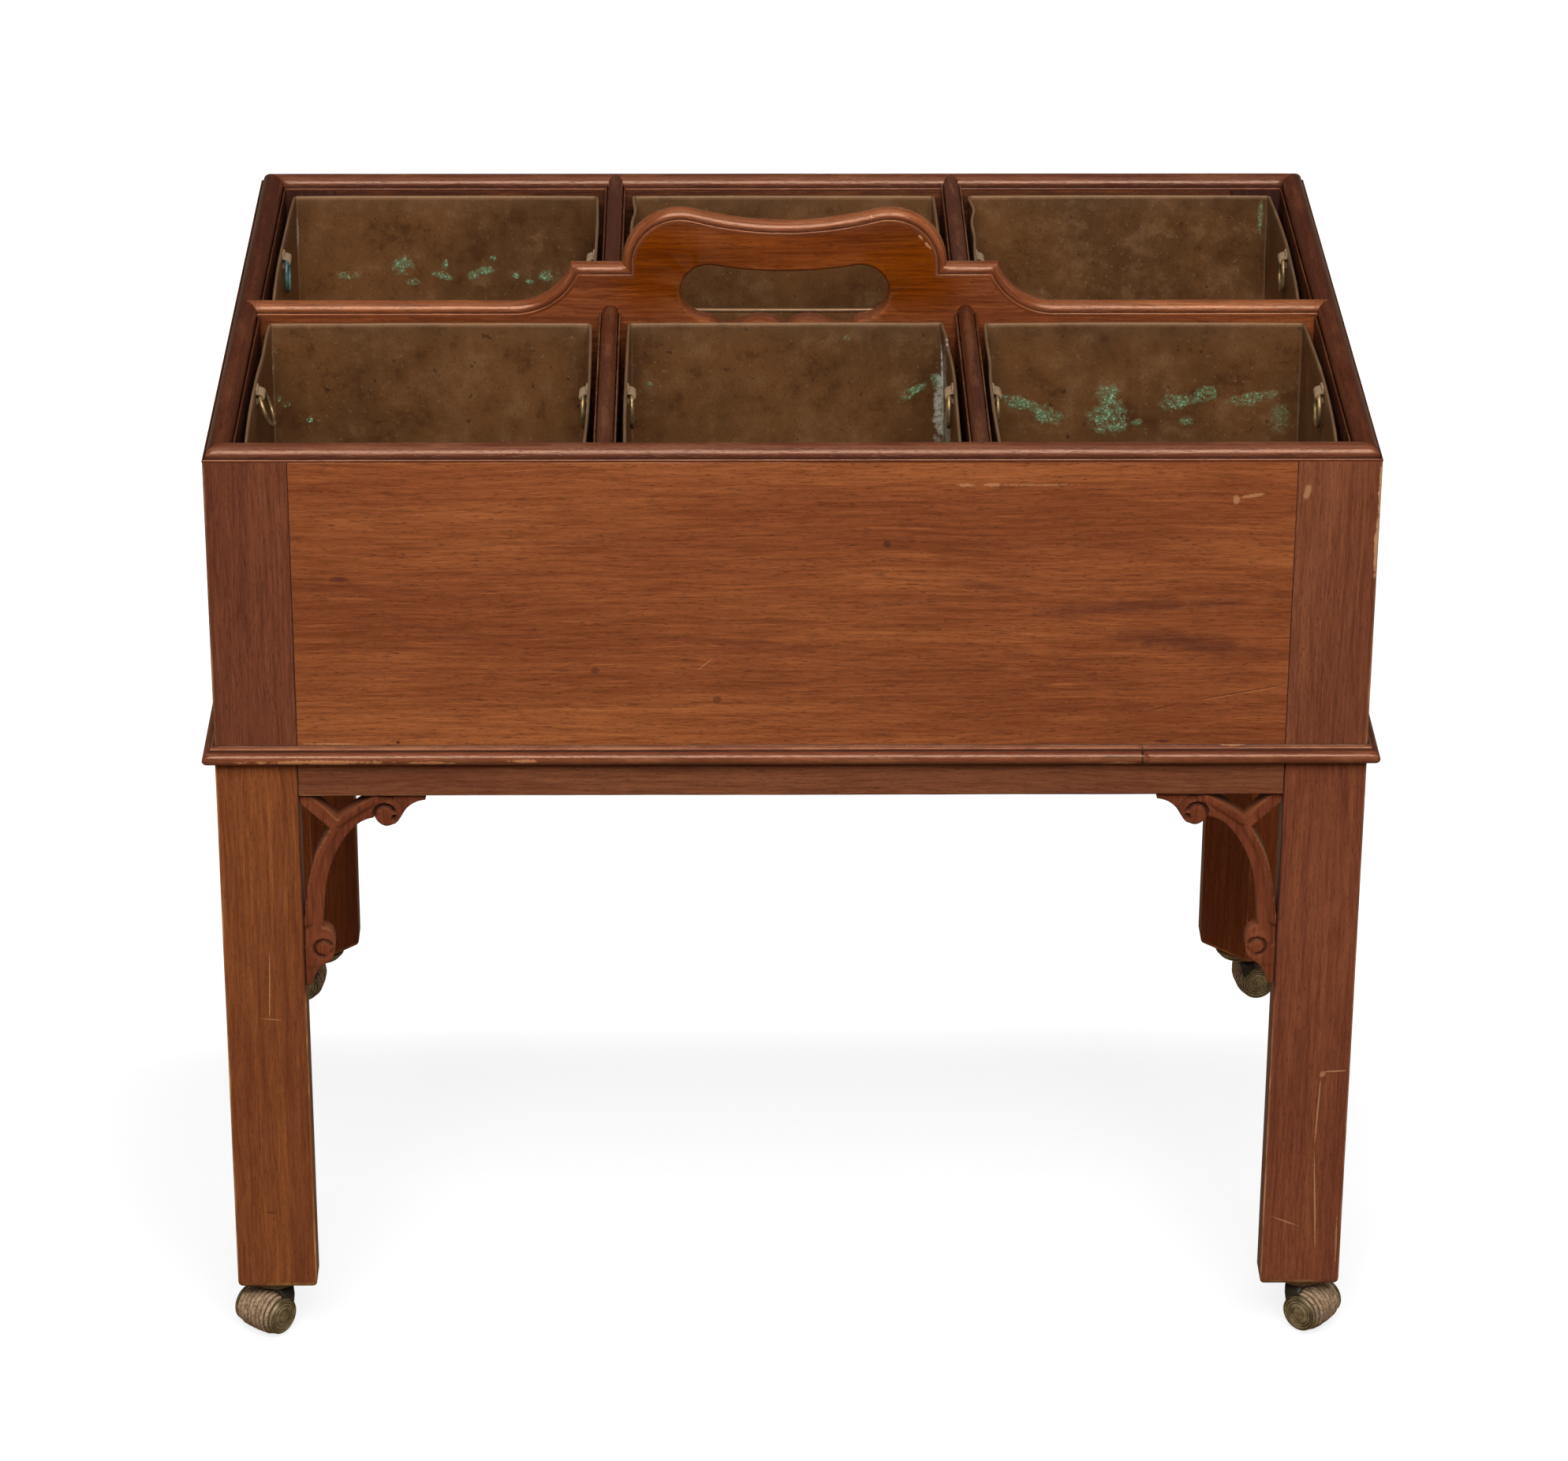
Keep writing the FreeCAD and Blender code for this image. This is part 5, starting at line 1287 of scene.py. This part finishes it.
# (above the crown's top, radius, dirt and painted shade); the crown's top edge is darkened as painted shade
# under the plate
crownProfile = ((-3.35, 0), (-3.35, 7.2), (-3.1, 9.4), (-2.5, 11.4), (-1.7, 12.8), (-0.9, 13.5),
                (-0.3, 13.5, 0.3), (0, 13.0, 0.7), (0, 4.0, 1), (24, 4.0), (24, 0))
# (out from the cheek's inner face, in from its edge, dirt and painted shade), then (out, radius, dirt and
# painted shade)
cheekRim = ((0.1, 0.7), (0.5, 0), (1.5, 0), (2.0, 0.4), (2.0, 0.8, 0.3), (1.5, 1.1, 1), (2.1, 1.4, 0.2),
            (2.25, 1.9), (2.1, 2.4, 0.3), (1.65, 2.7, 1), (2.2, 3.0, 0.2), (2.4, 3.6), (2.3, 4.2, 0.2),
            (1.95, 4.5, 0.8), (2.3, 4.9))
hubProfile = [(2.5, 4.4), (2.4, 3.9, 0.7), (2.75, 3.3), (3.1, 2.3), (3.25, 1.0), (3.25, 0)]
# the arm: (x, y, below the crown's top, half width, half thickness, painted shade that darkens the arm)
armStations = (
    (3.0, 0, 1.9, 7.4, 1.4, 0.5), (3.2, 7.6, 2.0, 6.6, 1.4, 0.8), (3.6, 11.2, 3.6, 5.6, 1.3, 1.0),
    (4.0, 13.0, 6.6, 4.8, 1.1, 1.0), (5.0, 13.5, 10.2, 5.0, 1.0, 0.9), (7.6, 13.6, 14.0, 5.2, 0.9, 0.5))


def makeHorn():
    # domed crown on its pintle, two cheeks with turned rings, an arm to each and the riveted axle, cast in one
    form = Form()
    width = castor["wheelWidth"] + 2 * (castor["gap"] + castor["cheek"])
    crownTop = plateLow - castor["crownGap"]
    lathe(form, [(crownTop + rise, *more) for rise, *more in crownProfile], (0, 0, 0), (0, 0, 1), 48)
    axle = castor["wheelRadius"]
    trail = castor["trail"]
    r = castor["cheekRadius"]
    profile = [(0.1, 0)] + [(out, r - inset, *dirt) for out, inset, *dirt in cheekRim] + hubProfile
    stations = [(Vector((x, y, crownTop - drop)), *more) for x, y, drop, *more in armStations]
    for sign in (-1, 1):
        lathe(form, profile, (trail, sign * (width / 2 - castor["cheek"]), axle), (0, sign, 0), 48)
        # the arm comes down outside the wheel on the pivot's side, set in from the cheek's face
        rings = []
        for k, (centre, broad, thin, dirt) in enumerate(stations):
            before = stations[max(k - 1, 0)][0]
            after = stations[min(k + 1, len(stations) - 1)][0]
            along = (after - before).normalized()
            across = (Vector((1, 0, 0)) - along * along.x).normalized()
            up = along.cross(across).normalized()
            ring = []
            for i in range(16):
                angle = 2 * math.pi * i / 16
                squareX, squareY = (math.copysign(abs(v) ** 0.6, v) for v in (math.cos(angle), math.sin(angle)))
                point = centre + across * (broad * squareX) + up * (thin * squareY)
                ring.append(form.add((point.x, sign * point.y, point.z), 0.0, dirt))
            rings.append(ring)
        form.loft(rings)
    pin = castor["axleRadius"]
    lathe(form, [(-width / 2, 0), (-width / 2, pin), (width / 2, pin), (width / 2, 0)], (trail, 0, axle),
          (0, 1, 0), 20)
    return form


for corner, xSide, ySide in corners:
    stand = Matrix.Translation(pivots[corner]) @ Matrix.Rotation(math.radians(castorTurns[corner]), 4, "Z")
    form = makeHorn()
    form.points = [stand @ p for p in form.points]
    makePiece(f"{corner}_castor_horn_cast", form, brassFinish, f"{corner}_castor",
              [f"{corner}_castor_horn"], "z", 40)
    wheel = discTree.bake(f"{corner}_castor_wheel_discs", bpy.data.meshes.new("wheel_start"),
                          {"Disc": disc, "Count": castor["discs"], "Pitch": (0, 0, pitch * mm), "Spread": 0.985,
                           "Taper": 0.1, "Seed": seedOf(corner), "Material": leatherFinish})
    onAxle = stand @ Matrix.Translation((castor["trail"], 0, castor["wheelRadius"])) \
        @ Matrix.Rotation(math.pi / 2, 4, "X") \
        @ Matrix.Translation((0, 0, -castor["wheelWidth"] / 2 + pitch / 2))
    toMetres = Matrix.Scale(mm, 4)
    wheel.data.transform(toMetres @ onAxle @ toMetres.inverted())
    dress(wheel, None, f"{corner}_wheel", [f"{corner}_castor_wheel"], 40)
print("castors made")


liner = {"sheet": 1.0, "cornerRadius": 2.2, "roll": 1.1, "rollRadius": 1.05, "rollSteps": 8, "pitch": 7.0,
         "levels": 14, "ringInset": 2.5, "ringDrop": 5.5, "strap": 2.35, "loop": 1.5}

# how each liner has been knocked about: how far the corners of its left, right and end walls are drawn in, then
# dents (x, y, z, reach, push x, push y)
knocks = {
    "front_left": ((1.6, 1.2, 1.0), (-301, -60, 552, 22, 0.8, 0), (-250, -11, 500, 40, 0, -0.5)),
    "front_middle": ((0.7, 0.9, 0.8), (93, -40, 540, 26, -1.6, 0), (92, -14, 552, 10, -2.2, 1.0)),
    "front_right": ((1.0, 2.6, 1.2), (112, -70, 552, 20, 0.8, 0), (230, -11, 480, 50, 0, -0.7)),
    "back_left": ((1.5, 0.9, 1.0), (-112, 60, 550, 25, -1.0, 0), (-200, 201, 520, 40, 0, -0.6)),
    "back_middle": ((0.8, 0.8, 1.2), (-93, 175, 552, 12, 1.6, 0), (0, 201, 530, 40, 0, -0.6)),
    "back_right": ((0.3, 3.0, 0.8), (112, 178, 554, 15, 2.6, 0), (112, 130, 552, 20, 1.2, 0)),
}
linerLift = {"back_middle": 0.96, "back_left": 1.04, "back_right": 1.04}  # painted light: each listed liner's whole colour is scaled brighter or darker
bloomPatches = {
    "front_left": [
        (-290, -12, 502.8, 2.8, 5, 2.8, 1, 0.2),
        (-277, -12, 493, 2.6, 5, 2.6, 1, 0.2),
        (-294, -12, 506, 1.4, 5, 2.8, 0.8, 0.2)],
    "front_middle": [
        (72, -12, 510, 11, 8, 3.4, 0.9, 0.9, -34),
        (86, -12, 516, 4, 8, 9, 1, 0.8),
        (92, -30, 494, 7, 60, 15, 1, 0.8),
        (34, -12, 543, 2.4, 5, 2, 1, 0.3),
        (-80, -12, 515, 2.2, 5, 1.6, 1, 0.3)],
    "front_right": [
        (134, -12, 503, 15.4, 10, 4.48, 1, 0.8, 16),
        (150, -12, 495, 12.6, 10, 6.3, 1, 0.9, 20),
        (186, -12, 507, 7.7, 10, 9.8, 1, 0.9),
        (187, -12, 493, 14, 10, 11.2, 1, 0.9),
        (226, -12, 504, 12.6, 10, 6.3, 1, 0.9, -10),
        (242, -12, 508, 11.2, 10, 5.6, 1, 0.9, -20),
        (270, -12, 506, 16.8, 10, 4.48, 1, 0.9, -10),
        (286, -12, 494, 7, 10, 11.2, 0.5, 1),
        (232, -12, 492, 4.9, 10, 3.5, 0.8, 0.8),
        (203, -12, 491, 4.2, 10, 2.8, 0.8, 0.8)],
    "back_left": [
        (-233, 201, 507, 8.05, 10, 6.9, 1, 0.8),
        (-267, 201, 501, 8.05, 10, 2.99, 0.9, 0.9),
        (-228, 201, 497, 5.75, 10, 2.76, 1, 0.9),
        (-209, 201, 501, 8.05, 10, 2.76, 1, 0.8, 18),
        (-208, 201, 507, 2.3, 10, 5.75, 1, 0.8, 15),
        (-183, 201, 504, 6.9, 10, 3.22, 1, 0.8, -8),
        (-190, 201, 501, 4.02, 10, 3.45, 1, 0.8),
        (-146, 201, 501, 5.17, 10, 4.6, 1, 0.8),
        (-164, 201, 501, 2.53, 10, 2.53, 1, 0.6),
        (-178, 201, 512, 2.76, 10, 2.07, 1, 0.6),
        (-156, 201, 497, 3.45, 10, 1.84, 1, 0.6)],
    "back_middle": [(20, 201, 520, 3, 5, 3, 0.4, 0.6)],
    "back_right": [(292, 201, 540, 1.8, 6, 13, 1, 0.9)],
}
# solder and corrosion streaks; on the front-middle liner's right wall they are also painted light
seamStreaks = {
    "front_left": [(-299, -12, 530, 2.4, 5, 26, 0.35, 0.8)],
    "front_middle": [
        (91, -12, 530, 3.4, 6, 28, 0.9, 0.6),
        (92, -40, 535, 4, 22, 26, 0.7, 0.9),
        (92, -60, 500, 4, 50, 24, 0.6, 1),
        (88, -12, 500, 4, 6, 26, 0.5, 1)],
    "front_right": [(299, -12, 530, 2, 5, 22, 0.4, 0.8)],
    "back_left": [(-298, 201, 530, 2, 5, 22, 0.3, 0.8)],
    "back_middle": [
        (-92, 201, 545, 2, 5, 12, 0.9, 0.7),
        (92, 201, 545, 2, 5, 14, 0.8, 0.7)],
    "back_right": [(298, 201, 540, 2.4, 5, 18, 0.8, 0.7)],
}


def roundedLoop(halfX, halfY, radius, pitch):
    # evenly pitched points round a rounded rectangle, as (x, y, outward)
    loop = []
    for turn, (signX, signY) in enumerate(((1, -1), (1, 1), (-1, 1), (-1, -1))):
        centre = Vector((signX * (halfX - radius), signY * (halfY - radius)))
        square = math.pi / 2 * turn
        for k in range(7):
            angle = math.pi / 2 * (turn - 1) + math.pi / 2 * k / 6
            way = Vector((math.cos(angle), math.sin(angle)))
            loop.append((centre + way * radius, way))
        straight = 2 * (halfY - radius) if turn % 2 == 0 else 2 * (halfX - radius)
        along = Vector((-math.sin(square), math.cos(square)))
        way = Vector((math.cos(square), math.sin(square)))
        count = int(straight / pitch)
        start = loop[-1][0]
        loop += [(start + along * (straight * k / count), way) for k in range(1, count)]
    return loop


def makeLiner(row, column):
    name = f"{row}_{column}_liner"
    low, high = cadBox(name)
    centre = (low + high) / 2
    sheet = liner["sheet"]
    halfX = (high.x - low.x) / 2 - liner["roll"]
    halfY = (high.y - low.y) / 2 - liner["roll"]
    (left, right, ends), *dents = knocks[f"{row}_{column}"]
    seed = seedOf(name)

    def beaten(point):
        # corners drawn in, so that the walls bow out between them; nothing moves at the floor
        x, y, z = point
        rise = ((z - low.z) / (high.z - low.z)) ** 0.8
        u, v = (x - centre.x) / halfX, (y - centre.y) / halfY
        x -= rise * (left if u < 0 else right) * math.copysign(abs(u) ** 3, u) * v * v
        y -= rise * ends * math.copysign(abs(v) ** 3, v) * u * u
        for dx, dy, dz, reach, pushX, pushY in dents:
            fall = math.exp(-((x - dx) ** 2 + (y - dy) ** 2 + ((z - dz) / 1.5) ** 2) / (reach * reach))
            x += pushX * fall
            y += pushY * fall
        wave = noise.noise_vector(Vector((x, y, z)) / 55 + Vector((seed, 0, 0))) * 0.35 * rise
        return Vector((x + wave.x, y + wave.y, z))

    form = Form()
    loop = roundedLoop(halfX, halfY, liner["cornerRadius"], liner["pitch"])
    r = liner["rollRadius"]
    mid = high.z - r
    foot = low.z + sheet
    levels = liner["levels"]
    # (offset from the outer face of the wall, level, wear and painted highlight, soil)
    profile = [(0, foot, 0, 0.3)]
    profile += [(0, foot + (mid - r - foot) * k / levels, 0, 0) for k in range(1, levels + 1)]
    for k in range(liner["rollSteps"] + 1):  # the edge is rolled outwards over a wire
        angle = math.radians(-120 + 240 * k / liner["rollSteps"])
        # the rolled edge gets wear 0.5: partly rubbed metal, partly a painted highlight along the rim
        profile.append((r * math.cos(angle) - 0.05, mid + r * math.sin(angle), 0.5, 0))
    lipFoot = mid - r - 0.6
    profile += [(-sheet, mid - 0.2, 0.3, 0), (-sheet, lipFoot, 0.1, 0.1)]
    profile += [(-sheet, foot + (lipFoot - foot) * k / levels, 0, 0) for k in reversed(range(levels))]
    rings = []
    for offset, z, wear, soil in profile:
        ring = []
        for point, way in loop:
            flat = point + way * offset
            place = beaten((centre.x + flat.x, centre.y + flat.y, z))
            seam = min(abs(abs(flat.x) - halfX), abs(abs(flat.y) - halfY)) if abs(way.x * way.y) > 0.05 else 9
            own = (0, 0, 0) if offset == 0 else None
            ring.append(form.add(place, max(wear, 0.35 if seam < 3 else 0), soil, own))
        rings.append(ring)
    form.skin(rings)
    # floors: the outside flat, the inside a little uneven
    for ringIndex, level, dish in ((0, low.z, 0.0), (-1, low.z + sheet, 0.35)):
        offset = profile[ringIndex][0]
        floors = [rings[ringIndex]]
        for shrink in (0.995, 0.97, 0.85, 0.6, 0.3):
            floor = []
            for point, way in loop:
                flat = (point + way * offset) * shrink
                bumpy = dish * wander(seed, flat.x / 40, flat.y / 40) * (1 - shrink) * 3
                floor.append(form.add((centre.x + flat.x, centre.y + flat.y, level + max(bumpy, 0)), 0, 0.2))
            floors.append(floor)
        form.skin(floors)
        form.cap(floors[-1])
    # lugs: a folded strap round the ring's wire, soldered to the wall at each end
    lugZ = high.z - liner["ringDrop"]
    for sign in (-1, 1):
        wallX = centre.x + sign * (halfX - sheet)
        lugX = wallX - sign * liner["ringInset"]
        strap = [(lugX - sign * liner["strap"] * math.sin(math.radians(a)),
                  lugZ + liner["strap"] * math.cos(math.radians(a))) for a in range(0, 181, 20)]
        inside = [(lugX - sign * liner["loop"] * math.sin(math.radians(a)),
                   lugZ + liner["loop"] * math.cos(math.radians(a))) for a in range(180, -1, -20)]
        head, foot, back, backHead = (
            [(wallX - sign * out, lugZ + rise) for out, rise in points] for points in (
                ((0.1, 4.6), (0.75, 4.4), (1.1, 3.0)), ((1.3, -3.0), (0.7, -4.0), (0.1, -4.1)),
                ((-0.3, -4.0), (-0.3, -1.6)), ((-0.3, 1.6), (-0.3, 4.5))))
        section = head + strap + foot + back + inside + backHead
        # the lugs get wear 1.6 so they paint pale: bright solder, and partly a painted highlight
        form.loft([[form.add((wallX + (x - wallX) * squeeze, centre.y + y, z), 1.6) for x, z in section]
                   for y, squeeze in ((-5, 0.9), (-4.6, 1), (0, 1), (4.6, 1), (5, 0.9))])
    metal = linerMetal(f"{row}_{column}_metal", bloomPatches[f"{row}_{column}"], seamStreaks[f"{row}_{column}"],
                       linerLift.get(f"{row}_{column}", 1.0))
    makePiece(f"{name}_sheet", form, metal, name, [name], "z", 40)


for row in rows:
    for column in columns:
        makeLiner(row, column)
print("liners made")


ringShape = {"wire": 1.25, "radius": 10.75, "halfTop": 6.85, "swing": -20.0, "steps": 44}

halfTop, radius = ringShape["halfTop"], ringShape["radius"]
drop = math.sqrt(radius ** 2 - halfTop ** 2)
opening = math.atan2(halfTop, drop)

for row in rows:
    for column in columns:
        low, high = cadBox(f"{row}_{column}_liner")
        middleY = (low.y + high.y) / 2
        for end, sign in (("left", -1), ("right", 1)):
            name = f"{row}_{column}_{end}_ring"
            edge = (low.x if sign < 0 else high.x) - sign * liner["roll"]
            axisPoint = Vector((edge - sign * (liner["sheet"] + liner["ringInset"]), middleY,
                                high.z - liner["ringDrop"]))
            seed = seedOf(name)
            points = [Vector((0, halfTop * k / 4, 0)) for k in range(-3, 4)]
            for k in range(ringShape["steps"] + 1):
                angle = opening + (2 * math.pi - 2 * opening) * k / ringShape["steps"]
                bend = 0.25 * wander(seed, math.sin(angle) * 2, math.cos(angle) * 2) * math.sin(angle / 2) ** 2
                points.append(Vector((bend * 0.6, (radius + bend) * math.sin(angle),
                                      -drop + (radius + bend) * math.cos(angle))))
            swing = math.radians(ringShape["swing"] if name == "front_left_left_ring" else 0)
            turn = Matrix.Rotation(swing, 3, "Y")
            finish = greenWireFinish if name == "back_left_left_ring" else wireFinish
            path = pathMesh(name + "_path", [axisPoint + turn @ p for p in points])
            ring = wireTree.bake(name + "_wire", path, {"Radius": ringShape["wire"] * mm, "Sides": 12,
                                                        "Material": finish})
            dress(ring, None, name, [name], 60)
print("rings made")

for helper in (screwHead, disc):
    bpy.data.objects.remove(helper)


studio = {
    "cameraAt": (-0.04432, -2.95865, 1.70448), "pitch": 0.4468, "yaw": 0.0146, "roll": 0.0045,
    "focalPixels": 6951.4, "framePixels": 1988, "sensor": 36.0, "floorColour": (0.22, 0.22, 0.22, 1),
    "glowNear": 0.82, "glowFar": 1.05, "shade": (-0.04, -0.09, 0.42, 0.23),
    "above": (0.05, 0.05, 0.05), "below": (0.24, 0.18, 0.12), "floorReach": 9.0, "wallSides": 48,
}
# (name, place, aimed at, width, height, watts)
softboxes = (
    ("front_box", (0, -2.3, 2.75), (0, 0, 0.45), 2.4, 1.6, 120),
    ("left_strip", (-2.9, -1.2, 1.3), (0, 0, 0.4), 1.0, 2.2, 7),
    ("right_strip", (2.9, -1.2, 1.3), (0, 0, 0.4), 1.0, 2.2, 8),
    ("top_box", (0, -0.1, 3.4), (0, 0.1, 0), 2.2, 1.6, 12),
    ("back_fill", (0, 3.0, 1.2), (0, 0, 0.4), 2.0, 1.4, 40),
)


def makeStudio():
    scene = bpy.context.scene
    f = Finish("floor_paper")
    x, y, halfX, halfY = studio["shade"]  # a little darker under the stand
    scaled = f.vector("DIVIDE", f.vector("SUBTRACT", f.place, (x, y, 0.0)), (halfX, halfY, 1.0))
    away = f.vector("LENGTH", f.vector("POWER", f.vector("ABSOLUTE", scaled), (4.0, 4.0, 4.0)), output="Value")
    tone = f.span(away, 0.35, 2.2, studio["glowNear"], studio["glowFar"])
    tone = f.math("MULTIPLY", tone, f.span(f.noise(f.place, 0.7, 2), 0.3, 0.7, 0.985, 1.0))
    f.colour = studio["floorColour"]
    f.set(rough=0.9, gloss=0.0)
    f.plug(f.shader.inputs["Emission Color"], f.grey(tone))
    f.plug(f.shader.inputs["Emission Strength"], 1.0)

    def screen(name, points, faces):  # gives no bounce and no reflections; the world below does that instead
        mesh = bpy.data.meshes.new(name)
        mesh.from_pydata(points, [], faces)
        mesh.materials.append(f.material)
        made = bpy.data.objects.new(name, mesh)
        scene.collection.objects.link(made)
        made.visible_diffuse = made.visible_glossy = False
        return made

    reach, sides = studio["floorReach"], studio["wallSides"]
    floor = screen("floor", [(x * reach, y * reach, 0) for x, y in ((-1, -1), (1, -1), (1, 1), (-1, 1))],
                   [(0, 1, 2, 3)])
    # a round white wall for low viewpoints
    foot = [(reach * math.cos(math.tau * k / sides), reach * math.sin(math.tau * k / sides))
            for k in range(sides)]
    backdrop = screen("backdrop", [(x, y, z) for z in (0.0, reach) for x, y in foot],
                      [(k, (k + 1) % sides, sides + (k + 1) % sides, sides + k) for k in range(sides)])
    backdrop.visible_shadow = False
    for name, place, aim, width, height, watts in softboxes:
        light = bpy.data.lights.new(name, "AREA")
        light.shape = "RECTANGLE"
        light.size, light.size_y, light.energy = width, height, watts
        lamp = bpy.data.objects.new(name, light)
        lamp.location = place
        lamp.rotation_euler = (Vector(aim) - Vector(place)).to_track_quat("-Z", "Y").to_euler()
        lamp.visible_camera = False
        lamp.visible_glossy = name != "back_fill"
        scene.collection.objects.link(lamp)
    world = bpy.data.worlds.new("studio")
    world.use_nodes = True
    nodes, links = world.node_tree.nodes, world.node_tree.links
    height = nodes.new("ShaderNodeSeparateXYZ")
    links.new(nodes.new("ShaderNodeTexCoord").outputs["Generated"], height.inputs[0])
    level = nodes.new("ShaderNodeMapRange")
    links.new(height.outputs[2], level.inputs[0])
    level.inputs[1].default_value, level.inputs[2].default_value = -0.15, 0.15
    blend = nodes.new("ShaderNodeMix")
    blend.data_type = "RGBA"
    links.new(level.outputs[0], blend.inputs[0])
    for index, colour in ((6, studio["below"]), (7, studio["above"])):
        blend.inputs[index].default_value = (*colour, 1.0)
    links.new(blend.outputs[2], nodes["Background"].inputs[0])
    scene.world = world
    lens = bpy.data.cameras.new("camera")
    lens.sensor_width = studio["sensor"]
    lens.lens = studio["focalPixels"] * studio["sensor"] / studio["framePixels"]
    lens.clip_start, lens.clip_end = 0.1, 50
    camera = bpy.data.objects.new("camera", lens)
    camera.matrix_world = Matrix.Translation(studio["cameraAt"]) @ Matrix.Rotation(-studio["yaw"], 4, "Z") \
        @ Matrix.Rotation(math.pi / 2 - studio["pitch"], 4, "X") @ Matrix.Rotation(studio["roll"], 4, "Z")
    scene.collection.objects.link(camera)
    scene.camera = camera
    scene.view_settings.view_transform = "Standard"


makeStudio()
print("studio made")
